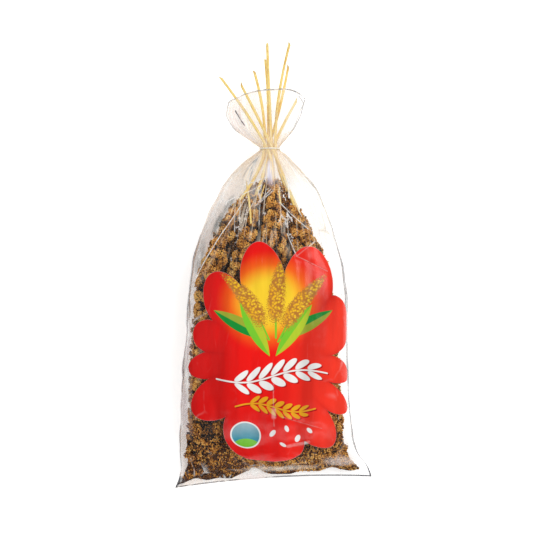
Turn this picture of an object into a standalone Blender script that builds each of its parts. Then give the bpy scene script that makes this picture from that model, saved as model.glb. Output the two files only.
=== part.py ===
"""A tied bag of foxtail millet heads, lying on its back.

Eight millet heads lie in two layers of four in a clear film bag. Their straw stems run up through
the neck, which a thin tie draws in, and stand out past the gathered collar of film above it.
Shed grain lies along the sealed bottom of the bag.

Frame: X across the bag, Y along it towards the stems, Z up from the surface that it lies on. The
origin is on that surface, under the middle of the whole. Sizes are millimetres until mesh_object
and stem_curve turn them into metres.
"""

import math
import random
from typing import NamedTuple

import bmesh
import bpy
from mathutils import Vector

MM = 0.001
FIT_GAP = 0.35

# The bag
FILM = 0.8
RING_POINTS = 28
NECK_X = -3.4
NECK_Y = 112.0
NECK_Z = 26.0
NECK_HALF_WIDTH = 8.9
NECK_HALF_DEPTH = 8.3
NECK_HALF_BAND = 1.3
PLEATS = 7
WIDEST_DROP = 0.05
FRONT_SQUARENESS = 1
BACK_SQUARENESS = 3
FILM_CREASE_DEG = 50

# The tie
TIE_RADIUS = 0.6
TIE_POINTS = 24
TIE_BEVEL_RESOLUTION = 1

# The heads
BUNCH_TOP_Y = 91.7
BUNCH_FULL_Y = -33.7
BUNCH_FOOT_Y = -193.0
FILM_ROOM = 1.1
FRONT_PITCH = 11.4
BACK_PITCH = 12.4
LOBE_DEPTH = 0.2
LOBE_SPREAD = 0.06
LOBE_CREASE_DEG = 25
FRONT_SIDES = 18
BACK_SIDES = 14
HEAD_TAPER = 0.22
HEAD_BASE_SHARE = 0.42
HEAD_SWELL_POWER = 0.7
HEAD_TIP_SHARE = 0.6
HEAD_ROUNDING = 0.05
HEAD_BLUNTNESS = 0.85
HEAD_SWAY = 2.2
HEAD_SWAY_LENGTH = 33.0
PROBES = 12

# The stems
STEM_RADIUS = 1.5
STEM_TOP_SHARE = 0.85
STEM_POINTS = 6
STEM_STRAIGHTNESS = 0.4
STEM_BEVEL_RESOLUTION = 2

# The shed grain
DRIFT_FOOT_ROW = 1.4
DRIFT_TOP_ROW = 2.5
DRIFT_COLUMNS = 40
DRIFT_ROWS = 4
DRIFT_REACH = 0.95
DRIFT_BUMP = 0.7
DRIFT_HALF_EDGE = 0.45


class Row(NamedTuple):
    """One section of the bag: its two side edges, how far its middle bows along Y, its height,
    the size of its pleats, and how square it is, from 0, an ellipse, to 1."""

    left_x: float
    left_y: float
    right_x: float
    right_y: float
    bow: float
    low: float
    high: float
    pleat: float
    square: float


class Column(NamedTuple):
    """One side of a head's place in the bunch: its X at the neck, in the full bag and at the foot,
    and 1 where it sways from side to side on its way down, or 0."""

    neck_x: float
    full_x: float
    foot_x: float
    sway: int


class Head(NamedTuple):
    """A millet head: its number in its layer, where it starts and ends along Y, and its stem's
    place in the neck and free end."""

    column: int
    base_y: float
    tip_y: float
    neck_dx: float
    neck_dz: float
    end_x: float
    end_y: float
    end_z: float


def neck_row(y):
    """The tied neck, an ellipse, at y."""
    return Row(
        NECK_X - NECK_HALF_WIDTH, y, NECK_X + NECK_HALF_WIDTH, y, 0,
        NECK_Z - NECK_HALF_DEPTH, NECK_Z + NECK_HALF_DEPTH, 0, 0,
    )


# From the seam up to the mouth. Where a row's low side is under zero, the bag lies flat there.
BAG_ROWS = (
    Row(-95.0, -213.5, 95.0, -202.5, 4.5, 6.0, 7.2, 0, 0.2),
    Row(-93.0, -208.5, 93.5, -197.5, 4.5, 5.5, 8.0, 0, 0.2),
    Row(-90.5, -201.5, 91.5, -193.0, 3.5, 2.5, 16.0, 0, 0.2),
    Row(-89.0, -191.5, 87.0, -186.5, 2.0, 0.5, 28.0, 0, 0.3),
    Row(-90.0, -179.0, 81.5, -179.0, 0, -1.5, 38.0, 0, 0.5),
    Row(-90.0, -165.0, 76.5, -165.0, 0, -1.5, 46.0, 0, 0.8),
    Row(-89.0, -146.0, 74.5, -146.0, 0, -1.5, 53.0, 0, 1),
    Row(-88.0, -122.0, 72.5, -122.0, 0, -1.5, 59.0, 0, 1),
    Row(-86.5, -93.5, 71.5, -93.5, 0, -1.5, 62.0, 0, 1),
    Row(-82.5, -60.5, 70.0, -60.5, 0, -1.5, 63.0, 0, 1),
    Row(-81.0, -27.0, 70.0, -27.0, 0, -1.5, 63.0, 0, 1),
    Row(-78.0, 2.5, 66.5, 2.5, 0, -1.5, 61.0, 0, 1),
    Row(-71.0, 27.0, 59.0, 27.0, 0, -1.5, 57.0, 0, 0.9),
    Row(-61.0, 52.0, 51.0, 52.0, 0, 1.5, 51.0, 0.5, 0.7),
    Row(-49.0, 74.5, 41.5, 74.5, 0, 6.5, 46.0, 1, 0.5),
    Row(-35.5, 92.5, 25.5, 92.5, 0, 12.0, 41.0, 1, 0.3),
    Row(-22.5, 104.0, 14.5, 104.0, 0, 15.5, 37.0, 0.6, 0),
    neck_row(NECK_Y - NECK_HALF_BAND),
    neck_row(NECK_Y + NECK_HALF_BAND),
    Row(-22.5, 120.0, 10.5, 120.0, 0, 16.0, 36.5, 0.6, 0),
    Row(-37.5, 129.5, 18.5, 129.5, 1, 13.0, 40.0, 1.4, 0),
    Row(-45.5, 142.5, 25.5, 143.5, 4, 10.0, 43.0, 2, 0),
    Row(-42.5, 156.5, 29.5, 161.0, 10, 8.0, 45.0, 2.4, 0),
)
SEAM_ROW = 1
BELOW_NECK_ROW = 17
ROW_HALVINGS = 24
NEAR_EDGE = 0.999

FRONT_COLUMNS = (
    Column(-17.6, -75.0, -85.0, 0),
    Column(-12.8, -45.0, -49.0, 1),
    Column(-8.1, -14.7, -12.5, 1),
    Column(5.2, 17.5, 27.5, 1),
    Column(9.4, 52.5, 72.0, 0),
)
BACK_COLUMNS = (
    Column(-20.0, -77.0, -85.0, 0),
    Column(-13.0, -41.0, -44.0, 1),
    Column(-4.0, -7.0, -3.5, 1),
    Column(3.5, 27.0, 36.5, 1),
    Column(9.5, 59.0, 74.0, 0),
)
FRONT_HEADS = (
    Head(0, 63.0, -191.0, -5.5, 0, -18.5, 186.7, 26.0),
    Head(1, 69.0, -189.0, -2.0, 0, -7.6, 198.0, 22.5),
    Head(2, 84.0, -187.5, -2.4, 4.5, -50.8, 180.0, 33.0),
    Head(3, 60.0, -186.0, 2.4, 4.5, -31.8, 174.3, 31.0),
)
BACK_HEADS = (
    Head(0, 52.0, -190.0, -2.4, -4.8, 14.7, 193.3, 19.5),
    Head(1, 74.0, -187.5, 2.4, -4.8, 23.0, 160.0, 24.0),
    Head(2, 70.0, -186.0, 1.9, 0, -6.0, 212.3, 28.5),
    Head(3, 52.0, -184.5, 5.5, 0, 15.7, 213.3, 27.0),
)


def clear_scene():
    """Removes whatever the scene holds."""
    for old in list(bpy.data.objects):
        bpy.data.objects.remove(old, do_unlink=True)


def material(name, colour, roughness, alpha=1.0):
    """A plain Principled material."""
    made = bpy.data.materials.new(name)
    made.use_nodes = True
    shader = made.node_tree.nodes["Principled BSDF"]
    shader.inputs["Base Color"].default_value = (*colour, 1)
    shader.inputs["Roughness"].default_value = roughness
    shader.inputs["Metallic"].default_value = 0
    shader.inputs["Alpha"].default_value = alpha
    return made


def collect(obj, finish, collection):
    """Gives an object its material and puts it in the part's collection."""
    obj.data.materials.append(finish)
    collection.objects.link(obj)
    return obj


def mesh_object(name, points, faces, crease_deg):
    """A closed mesh from points in millimetres, facing out, smooth across edges under crease_deg."""
    mesh = bpy.data.meshes.new(name)
    mesh.from_pydata([Vector(p) * MM for p in points], [], faces)
    shape = bmesh.new()
    shape.from_mesh(mesh)
    bmesh.ops.recalc_face_normals(shape, faces=shape.faces)
    shape.to_mesh(mesh)
    shape.free()
    mesh.shade_smooth()
    mesh.set_sharp_from_angle(angle=math.radians(crease_deg))
    return bpy.data.objects.new(name, mesh)


def between(a, b, share):
    """The value a share of the way from a to b."""
    return a + (b - a) * share


def row_at(step):
    """The bag's section at a row number, which may lie between two rows."""
    whole = min(int(step), len(BAG_ROWS) - 2)
    pairs = zip(BAG_ROWS[whole], BAG_ROWS[whole + 1])
    return Row(*(between(a, b, step - whole) for a, b in pairs))


def row_y(row, across):
    """A row's Y where across runs from -1 at the left edge to 1 at the right one."""
    return between(row.left_y, row.right_y, (across + 1) / 2) + row.bow * (1 - across**2)


def row_span(row, inset):
    """A row's middle X and half width, inset from the outside of the film."""
    middle = (row.left_x + row.right_x) / 2
    return middle, (row.right_x - row.left_x) / 2 - inset


def row_heights(row, inset):
    """A row's low, widest and high Z, inset from the outside of the film."""
    widest = between(row.low, row.high, 0.5 - WIDEST_DROP * row.square)
    return row.low + inset, widest, row.high - inset


def exponents(row):
    """How square the front and the back of a section are."""
    return 2 + FRONT_SQUARENESS * row.square, 2 + BACK_SQUARENESS * row.square


def section_point(row, turn, inset):
    """The point at an angle round a section of the film."""
    middle, half_width = row_span(row, inset)
    low, widest, high = row_heights(row, inset)
    front, back = exponents(row)
    upper = turn < math.pi
    power = 2 / (front if upper else back)
    across = math.copysign(abs(math.cos(turn)) ** power, math.cos(turn))
    rise = abs(math.sin(turn)) ** power
    pleat = row.pleat * math.cos(PLEATS * turn)
    height = (high - widest if upper else widest - low) + pleat
    z = widest + (rise if upper else -rise) * height
    x = middle + across * (half_width + pleat)
    return x, row_y(row, across), max(z, inset)


def section(row, inset):
    """The points round one section of the film."""
    turns = (2 * math.pi * (k + 0.5) / RING_POINTS for k in range(RING_POINTS))
    return [section_point(row, turn, inset) for turn in turns]


def room_at(x, y):
    """The lowest and highest Z that the film leaves free inside the bag over a point."""
    low_step, high_step = SEAM_ROW, BELOW_NECK_ROW
    for _ in range(ROW_HALVINGS):
        step = (low_step + high_step) / 2
        row = row_at(step)
        middle, half_width = row_span(row, FILM)
        across = max(-1, min(1, (x - middle) / half_width))
        if row_y(row, across) < y:
            low_step = step
        else:
            high_step = step
    across = min(NEAR_EDGE, abs(across))
    low, widest, high = row_heights(row, FILM)
    front, back = exponents(row)
    top = widest + (high - widest) * (1 - across**front) ** (1 / front)
    bottom = widest - (widest - low) * (1 - across**back) ** (1 / back)
    return max(bottom, FILM) + FILM_ROOM, top - FILM_ROOM


def ring_faces(rings, count):
    """Quads between rings of points that lie one after another."""
    return [
        (r * count + k, r * count + (k + 1) % count,
         (r + 1) * count + (k + 1) % count, (r + 1) * count + k)
        for r in range(rings - 1) for k in range(count)
    ]


def lens_faces(first, count):
    """Quads that close a flat ring between its front and its back points."""
    half = count // 2
    return [
        (first + k, first + k + 1, first + count - 2 - k, first + count - 1 - k)
        for k in range(half - 1)
    ]


def film_bag():
    """The film: an outer and an inner skin, joined round the mouth and each closed at the seam."""
    outer = [section(row, 0) for row in BAG_ROWS]
    inner = [section(row, FILM) for row in BAG_ROWS[SEAM_ROW:]]
    rings = outer + inner[::-1]
    points = [point for ring in rings for point in ring]
    faces = ring_faces(len(rings), RING_POINTS)
    last = (len(rings) - 1) * RING_POINTS
    faces += lens_faces(0, RING_POINTS) + lens_faces(last, RING_POINTS)
    return mesh_object("film_bag", points, faces, FILM_CREASE_DEG)


def column_x(column, y):
    """Where a side of a head's place lies at y: it fans out from the neck, then runs down the bag."""
    sway = column.sway * HEAD_SWAY * math.sin(y / HEAD_SWAY_LENGTH + column.neck_x)
    if y > BUNCH_FULL_Y:
        share = min(1, (BUNCH_TOP_Y - y) / (BUNCH_TOP_Y - BUNCH_FULL_Y))
        return between(column.neck_x, column.full_x + sway, math.sin(math.pi / 2 * share))
    share = (BUNCH_FULL_Y - y) / (BUNCH_FULL_Y - BUNCH_FOOT_Y)
    return between(column.full_x, column.foot_x, share) + sway


def layer_split(x, y):
    """The height that parts the front layer of heads from the back one."""
    bottom, top = room_at(x, y)
    return (bottom + top) / 2


def fullness(along):
    """How much of its place a head fills, from its base at 0 to its rounded tip at 1."""
    swelling = between(HEAD_BASE_SHARE, 1, min(1, along / HEAD_TAPER) ** HEAD_SWELL_POWER)
    tip = max(0, (along - 1 + HEAD_TAPER) / HEAD_TAPER)
    end = max(0, (along - 1 + HEAD_ROUNDING) / HEAD_ROUNDING)
    rounding = math.sqrt(1 - HEAD_BLUNTNESS * end**2)
    return swelling * between(1, HEAD_TIP_SHARE, tip**2) * rounding


def head_section(head, columns, in_front, along):
    """A head's middle and half sizes at a share of the way along it."""
    y = between(head.base_y, head.tip_y, along)
    left, right = (column_x(columns[head.column + side], y) for side in (0, 1))
    x = (left + right) / 2
    half_width = fullness(along) * ((right - left) / 2 - FIT_GAP / 2)
    split = layer_split(x, y)
    reach = []
    for step in range(PROBES + 1):
        turn = math.pi * step / PROBES
        bottom, top = room_at(x + half_width * math.cos(turn), y)
        free = top - split if in_front else split - bottom
        reach.append((free - FIT_GAP / 2) / (1 + math.sin(turn)))
    half_depth = fullness(along) * min(reach)
    lift = FIT_GAP / 2 + min(reach)
    return x, y, split + (lift if in_front else -lift), half_width, half_depth


def millet_head(name, head, columns, in_front, sides, pitch, draw):
    """A head whose surface is raised into lobes: each is a peak with four low points round it."""
    length = head.base_y - head.tip_y
    rows = round(2 * length / pitch)
    points = []
    for j in range(rows + 1):
        x, y, z, half_width, half_depth = head_section(head, columns, in_front, j / rows)
        for i in range(sides):
            turn = 2 * math.pi * i / sides
            peak = 1 - LOBE_SPREAD * draw.random()
            swell = peak if (i + j) % 2 == 0 else peak - LOBE_DEPTH
            points.append((
                x + half_width * swell * math.cos(turn), y, z + half_depth * swell * math.sin(turn),
            ))
    faces = []
    for ring in ring_faces(rows + 1, sides):
        a, b, c, d = ring
        j, i = divmod(a, sides)
        if (i + j) % 2 == 0:
            faces += [(a, b, d), (b, c, d)]
        else:
            faces += [(a, b, c), (a, c, d)]
    for j, step in ((0, 0), (rows, 1)):
        middle = head_section(head, columns, in_front, step)[:3]
        points.append(middle)
        faces += [
            (j * sides + i, j * sides + (i + 1) % sides, len(points) - 1) for i in range(sides)
        ]
    return mesh_object(name, points, faces, LOBE_CREASE_DEG)


def stem_path(head, columns, in_front):
    """The line of a stem, from just above its head, through the neck, to its free end."""
    x, y, z, _, _ = head_section(head, columns, in_front, 0)
    neck = Vector((NECK_X + head.neck_dx, NECK_Y, NECK_Z + head.neck_dz))
    end = Vector((head.end_x, head.end_y, head.end_z))
    foot = Vector((x, y, z))
    lean = (neck - foot).normalized()
    foot.y += FIT_GAP + STEM_RADIUS * math.hypot(lean.x, lean.z)
    through = (end - foot).normalized()
    return smooth_run(foot, neck, through)[:-1] + smooth_run(end, neck, -through)[::-1]


def smooth_run(start, neck, through):
    """Points from one end of a stem to the neck, which it passes in the direction given."""
    reach = (neck - start).length
    bend = neck - through * reach * STEM_STRAIGHTNESS
    points = []
    for k in range(STEM_POINTS):
        share = k / (STEM_POINTS - 1)
        points.append(
            start * (1 - share) ** 2 + bend * 2 * share * (1 - share) + neck * share**2
        )
    return points


def tube(name, path, radius, end_share, bevel_resolution, closed):
    """A round wire or stem along a path, which thins to end_share of its radius at the far end."""
    curve = bpy.data.curves.new(name, "CURVE")
    curve.dimensions = "3D"
    curve.bevel_depth = radius * MM
    curve.bevel_resolution = bevel_resolution
    curve.use_fill_caps = not closed
    line = curve.splines.new("POLY")
    line.use_cyclic_u = closed
    line.points.add(len(path) - 1)
    for k, point in enumerate(path):
        line.points[k].co = (*(point * MM), 1)
        line.points[k].radius = between(1, end_share, k / (len(path) - 1))
    return bpy.data.objects.new(name, curve)


def stem(name, head, columns, in_front):
    """A straw stem, a little thinner towards its cut end."""
    path = stem_path(head, columns, in_front)
    return tube(name, path, STEM_RADIUS, STEM_TOP_SHARE, STEM_BEVEL_RESOLUTION, closed=False)


def neck_tie():
    """A thin loop that hugs the neck."""
    reach = FIT_GAP + TIE_RADIUS
    turns = (2 * math.pi * k / TIE_POINTS for k in range(TIE_POINTS))
    loop = [
        Vector((
            NECK_X + (NECK_HALF_WIDTH + reach) * math.cos(turn),
            NECK_Y,
            NECK_Z + (NECK_HALF_DEPTH + reach) * math.sin(turn),
        ))
        for turn in turns
    ]
    return tube("neck_tie", loop, TIE_RADIUS, 1, TIE_BEVEL_RESOLUTION, closed=True)


def shed_grain(draw):
    """The drift of loose grain that fills the bag above its seam, rough on both faces."""
    front, back = [], []
    for r in range(DRIFT_ROWS + 1):
        row = row_at(between(DRIFT_FOOT_ROW, DRIFT_TOP_ROW, r / DRIFT_ROWS))
        middle, half_width = row_span(row, FILM + FIT_GAP)
        for c in range(DRIFT_COLUMNS + 1):
            across = between(-DRIFT_REACH, DRIFT_REACH, c / DRIFT_COLUMNS)
            x, y = middle + half_width * across, row_y(row, across)
            bottom, top = room_at(x, y)
            centre = (bottom + top) / 2
            half_depth = max(DRIFT_HALF_EDGE, (top - bottom) / 2)
            rough = DRIFT_BUMP * draw.random() if (r + c) % 2 else 0
            front.append((x, y, centre + half_depth - min(rough, half_depth / 2)))
            back.append((x, y, centre - half_depth + min(rough, half_depth / 2)))
    across_count = DRIFT_COLUMNS + 1
    below = len(front)
    faces = []
    for r in range(DRIFT_ROWS):
        for c in range(DRIFT_COLUMNS):
            a = r * across_count + c
            b, d = a + 1, a + across_count
            quad = (a, b, d + 1, d)
            for first in (0, below):
                faces.append(tuple(first + k for k in quad))
    edge = list(range(across_count))
    edge += [(r + 1) * across_count - 1 for r in range(1, DRIFT_ROWS + 1)]
    edge += [below - 2 - c for c in range(DRIFT_COLUMNS)]
    edge += [r * across_count for r in range(DRIFT_ROWS - 1, 0, -1)]
    for k, a in enumerate(edge):
        b = edge[(k + 1) % len(edge)]
        faces.append((a, b, below + b, below + a))
    return mesh_object("shed_grain", front + back, faces, LOBE_CREASE_DEG)


def main():
    """Builds the bag, its tie, the heads on their stems and the shed grain."""
    clear_scene()
    part = bpy.data.collections.new("tied_millet_bag")
    bpy.context.scene.collection.children.link(part)
    clear_film = material("clear_film", (0.93, 0.93, 0.92), 0.12, 0.35)
    tie_thread = material("tie_thread", (0.93, 0.91, 0.85), 0.45)
    millet = material("millet", (0.52, 0.3, 0.11), 0.75)
    straw = material("straw", (0.84, 0.66, 0.28), 0.55)

    collect(film_bag(), clear_film, part)
    collect(neck_tie(), tie_thread, part)
    layers = (
        ("front", FRONT_HEADS, FRONT_COLUMNS, FRONT_SIDES, FRONT_PITCH),
        ("back", BACK_HEADS, BACK_COLUMNS, BACK_SIDES, BACK_PITCH),
    )
    for layer, heads, columns, sides, pitch in layers:
        in_front = layer == "front"
        for head in heads:
            tag = f"{layer}_{head.column + 1}"
            draw = random.Random(f"head {tag}")
            grown = millet_head(f"head_{tag}", head, columns, in_front, sides, pitch, draw)
            collect(grown, millet, part)
            collect(stem(f"stem_{tag}", head, columns, in_front), straw, part)
    collect(shed_grain(random.Random("shed grain")), millet, part)


main()
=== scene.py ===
"""The looks of a tied bag of foxtail millet heads that lies on its back.

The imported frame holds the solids: a film bag, its tie, eight heads on their straw stems and a drift
of shed grain. This script replaces each with a finer piece in the same place, and gives it the
finish of the real thing. It is written in metres, in the frame's own axes: X across the bag, Y along
it towards the stems, Z up from the surface it lies on.
"""

from __future__ import annotations

import logging
import math
import random
from contextlib import contextmanager
from dataclasses import dataclass, field
from enum import Enum
from functools import cache, partial
from typing import Any, Callable, Iterator, Sequence

import bmesh
import bpy
import numpy as np
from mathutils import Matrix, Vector, noise
from mathutils.bvhtree import BVHTree
from mathutils.kdtree import KDTree


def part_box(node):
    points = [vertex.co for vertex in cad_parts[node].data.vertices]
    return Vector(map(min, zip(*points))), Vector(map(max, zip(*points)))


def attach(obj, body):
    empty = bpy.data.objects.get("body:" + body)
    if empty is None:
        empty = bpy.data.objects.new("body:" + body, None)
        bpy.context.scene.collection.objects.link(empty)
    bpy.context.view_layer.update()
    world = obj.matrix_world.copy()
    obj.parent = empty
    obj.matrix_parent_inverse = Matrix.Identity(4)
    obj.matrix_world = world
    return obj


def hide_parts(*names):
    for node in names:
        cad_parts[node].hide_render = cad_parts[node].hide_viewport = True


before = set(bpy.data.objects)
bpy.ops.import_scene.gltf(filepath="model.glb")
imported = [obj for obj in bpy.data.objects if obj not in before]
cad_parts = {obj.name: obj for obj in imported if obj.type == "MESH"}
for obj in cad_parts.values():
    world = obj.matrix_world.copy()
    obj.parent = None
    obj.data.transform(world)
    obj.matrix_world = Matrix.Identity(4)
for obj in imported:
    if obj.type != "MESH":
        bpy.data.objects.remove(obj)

logging.basicConfig(level=logging.INFO, format="%(message)s")
log = logging.getLogger("millet_bag")

MM = 0.001
BODY = "root"
WELD = 1e-6
NUMBER = "NodeSocketFloat"
VECTOR = "NodeSocketVector"
TINT = "NodeSocketColor"

Colour = tuple[float, float, float]
Feed = Any
Placer = Callable[[np.ndarray, np.ndarray], np.ndarray]


# Node work


def reckoning(operation: str) -> Callable[..., Signal]:
    """Makes one of Signal's methods.

    Args:
        operation: the maths node's operation.

    Returns:
        The method, which works out a signal from this one and up to two others.
    """

    def reckoned(self: Signal, *others: Feed) -> Signal:
        """The result, as a signal."""
        return self.sketch.maths(operation, self, *others)

    return reckoned


class Signal:
    """A node's output, with which sums are written as with a number."""

    def __init__(self, sketch: NodeSketch, socket: bpy.types.NodeSocket) -> None:
        """Holds an output of one of a sketch's nodes."""
        self.sketch = sketch
        self.socket = socket

    __add__ = reckoning("ADD")
    __sub__ = reckoning("SUBTRACT")
    __mul__ = reckoning("MULTIPLY")
    __truediv__ = reckoning("DIVIDE")
    __pow__ = reckoning("POWER")
    __abs__ = reckoning("ABSOLUTE")
    scaled = reckoning("MULTIPLY_ADD")
    most = reckoning("MAXIMUM")
    least = reckoning("MINIMUM")
    root = reckoning("SQRT")
    sine = reckoning("SINE")
    cosine = reckoning("COSINE")
    turn_from = reckoning("ARCTAN2")
    wrapped = reckoning("WRAP")

    def __rsub__(self, other: float) -> Signal:
        """A number less this."""
        return self.sketch.maths("SUBTRACT", other, self)

    def remap(
        self, low: float, high: float, to_low: float = 0, to_high: float = 1, smooth: bool = False,
    ) -> Signal:
        """Maps a range of numbers onto another, and keeps the result inside it.

        Args:
            low: where the first range starts.
            high: where it ends.
            to_low: what low becomes.
            to_high: what high becomes.
            smooth: whether the change eases in and out.

        Returns:
            The mapped number.
        """
        kind = "SMOOTHSTEP" if smooth else "LINEAR"
        feeds = {0: self, 1: low, 2: high, 3: to_low, 4: to_high}
        return self.sketch.node("MapRange", feeds, interpolation_type=kind)[0]


class Step:
    """A node whose outputs are read as signals."""

    def __init__(self, sketch: NodeSketch, node: bpy.types.Node) -> None:
        """Holds one of a sketch's nodes."""
        self.sketch = sketch
        self.node = node

    def __getitem__(self, key: str | int) -> Signal:
        """An output, by its name or number."""
        return Signal(self.sketch, self.node.outputs[key])

    def wire(self, feeds: dict[Any, Feed]) -> None:
        """Links signals into the node's inputs, or sets their values.

        Args:
            feeds: by each input's name or number, a signal, a number, or a colour of three numbers.
        """
        for key, value in feeds.items():
            socket = self.node.inputs[key]
            if isinstance(value, Signal):
                self.sketch.tree.links.new(value.socket, socket)
            elif socket.type == "RGBA":
                socket.default_value = (*value, 1)
            else:
                socket.default_value = value


class NodeSketch:
    """Adds nodes to one node tree and links them."""

    def __init__(self, tree: bpy.types.NodeTree) -> None:
        """Works in a material's or a group's node tree."""
        self.tree = tree

    def node(self, kind: str, feeds: dict[Any, Feed] | None = None, **settings: Any) -> Step:
        """Adds a node.

        Args:
            kind: the node's type, without the word that all shader nodes' types begin with.
            feeds: what each input holds, by the input's name or number.
            settings: the node's own options.

        Returns:
            The node.
        """
        made = Step(self, self.tree.nodes.new(f"ShaderNode{kind}"))
        for option, value in settings.items():
            setattr(made.node, option, value)
        made.wire(feeds or {})
        return made

    def maths(self, operation: str, *values: Feed, clamp: bool = False) -> Signal:
        """Works out a number from one, two or three others."""
        return self.node("Math", dict(enumerate(values)), operation=operation, use_clamp=clamp)[0]

    def vector_maths(self, operation: str, *values: Feed) -> Signal:
        """Works out a vector from others."""
        return self.node("VectorMath", dict(enumerate(values)), operation=operation)[0]

    def blend(self, share: Feed, first: Feed, second: Feed, mode: str = "MIX") -> Signal:
        """Mixes two colours, of which the second is laid over the first by a share."""
        feeds = {0: share, 6: first, 7: second}
        return self.node("Mix", feeds, data_type="RGBA", blend_type=mode)[2]

    def mix_value(self, share: Feed, first: Feed, second: Feed) -> Signal:
        """Mixes two numbers."""
        return self.node("Mix", {0: share, 2: first, 3: second}, data_type="FLOAT")[0]

    def grey(self, value: Feed) -> Signal:
        """A grey of a given brightness."""
        return self.node("CombineColor", {0: value, 1: value, 2: value})[0]

    def place(self) -> Signal:
        """The object's own coordinates."""
        return self.node("TexCoord")["Object"]

    def sheet(self) -> Signal:
        """The coordinates of the piece's UV map."""
        return self.node("UVMap", uv_map="UVMap")[0]

    def mark(self, name: str) -> Signal:
        """One of the piece's attributes."""
        return self.node("Attribute", attribute_name=name)["Fac"]

    def parts(self, vector: Feed) -> Step:
        """A vector's three parts."""
        return self.node("SeparateXYZ", {0: vector})

    def flat(self, x: Feed, y: Feed) -> Signal:
        """A vector in the XY plane."""
        return self.node("CombineXYZ", {0: x, 1: y})[0]

    def toned(self, vector: Feed, *tones: float) -> Signal:
        """Uneven tone from the shared group.

        Args:
            vector: the coordinates it reads.
            tones: the scales of its broad patches and its fine ones, its darkest and its brightest tone.

        Returns:
            The tone.
        """
        feeds = dict(zip(("Vector", "Broad", "Fine", "Low", "High"), (vector, *tones)))
        return self.node("Group", feeds, node_tree=mottle_group())["Tone"]

    def noise(self, vector: Feed, scale: Feed, detail: float = 2, roughness: float = 0.5) -> Signal:
        """A soft noise from 0 to 1 over a surface."""
        feeds = {"Vector": vector, "Scale": scale, "Detail": detail, "Roughness": roughness}
        return self.node("TexNoise", feeds)["Fac"]

    def bump(self, height: Feed, strength: float, distance: float) -> Signal:
        """A normal that follows a height."""
        feeds = {"Strength": strength, "Distance": distance, "Height": height}
        return self.node("Bump", feeds)[0]

    def ramp(self, value: Feed, stops: Sequence[tuple[float, Colour]]) -> Signal:
        """A colour from a number.

        Args:
            value: the number, from 0 to 1.
            stops: places along the ramp with their colours.

        Returns:
            The colour.
        """
        made = self.node("ValToRGB", {0: value})
        elements = made.node.color_ramp.elements
        while len(elements) < len(stops):
            elements.new(0.5)
        for element, (share, colour) in zip(elements, stops):
            element.position = share
            element.color = (*colour, 1)
        return made[0]


def new_group(name: str, inputs: dict[str, str], outputs: dict[str, str]) -> tuple[NodeSketch, Step, Step]:
    """Starts a shader node group.

    Args:
        name: the group's name.
        inputs: each input's name and socket type.
        outputs: each output's name and socket type.

    Returns:
        The group's sketch, its input node and its output node.
    """
    tree = bpy.data.node_groups.new(name, "ShaderNodeTree")
    for direction, sockets in (("INPUT", inputs), ("OUTPUT", outputs)):
        for label, kind in sockets.items():
            tree.interface.new_socket(label, in_out=direction, socket_type=kind)
    sketch = NodeSketch(tree)
    start, end = (Step(sketch, tree.nodes.new(f"NodeGroup{side}")) for side in ("Input", "Output"))
    return sketch, start, end


def new_material(name: str) -> tuple[bpy.types.Material, NodeSketch, Step]:
    """Starts a Principled material.

    Args:
        name: the material's name.

    Returns:
        The material, its sketch and its Principled shader.
    """
    made = bpy.data.materials.new(name)
    made.use_nodes = True
    sketch = NodeSketch(made.node_tree)
    return made, sketch, Step(sketch, made.node_tree.nodes["Principled BSDF"])


@cache
def mottle_group() -> bpy.types.NodeTree:
    """Uneven tone, broad patches under fine ones, which seed, straw, film and floor all have.

    Returns:
        The node group, built once. Its Tone runs from Low to High over the surface.
    """
    inputs = {"Vector": VECTOR, "Broad": NUMBER, "Fine": NUMBER, "Low": NUMBER, "High": NUMBER}
    sketch, start, end = new_group("mottle", inputs, {"Tone": NUMBER})
    broad = sketch.noise(start["Vector"], start["Broad"], 3)
    fine = sketch.noise(start["Vector"], start["Fine"], 4, 0.6)
    spread = (broad * 0.6 + fine * 0.4).remap(0.34, 0.66, smooth=True)
    end.wire({"Tone": sketch.mix_value(spread, start["Low"], start["High"])})
    return sketch.tree


@dataclass(frozen=True)
class Spot:
    """A point on a surface, as two signals that a shape is measured from."""

    x: Signal
    y: Signal

    def moved(self, centre: tuple[float, float], tilt_deg: float = 0) -> Spot:
        """Moves the origin to a shape's middle and turns the axes with it.

        Args:
            centre: the shape's middle.
            tilt_deg: how far it leans, anticlockwise.

        Returns:
            The point as the shape measures it.
        """
        x, y = self.x - centre[0], self.y - centre[1]
        if not tilt_deg:
            return Spot(x, y)
        cos, sin = math.cos(math.radians(tilt_deg)), math.sin(math.radians(tilt_deg))
        return Spot(x.scaled(cos, y * sin), x.scaled(-sin, y * cos))

    def reach(self) -> Signal:
        """How far it is from the origin."""
        return (self.x * self.x + self.y * self.y).root()

    def oval(self, half_x: float, half_y: float) -> Signal:
        """How far outside an oval it is, about."""
        return (Spot(self.x / half_x, self.y / half_y).reach() - 1.0) * min(half_x, half_y)

    def pill(self, half_length: float, radius: float) -> Signal:
        """How far outside a bar with round ends it is."""
        return Spot((abs(self.x) - half_length).most(0.0), self.y).reach() - radius

    def line(self, start: Vector, end: Vector, half_width: float, soft: float) -> Signal:
        """A mask that is 1 on a straight line.

        Args:
            start: where the line starts.
            end: where it ends.
            half_width: half its width.
            soft: how wide its soft edge is.

        Returns:
            The mask.
        """
        run = end - start
        way = run / run.length
        x, y = self.x - start.x, self.y - start.y
        far, off = x.scaled(way.x, y * way.y), x.scaled(-way.y, y * way.x)
        past = abs(far - run.length / 2) - run.length / 2
        return Spot(past.most(0.0), off).reach().remap(half_width, half_width + soft, 1, 0)


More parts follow.
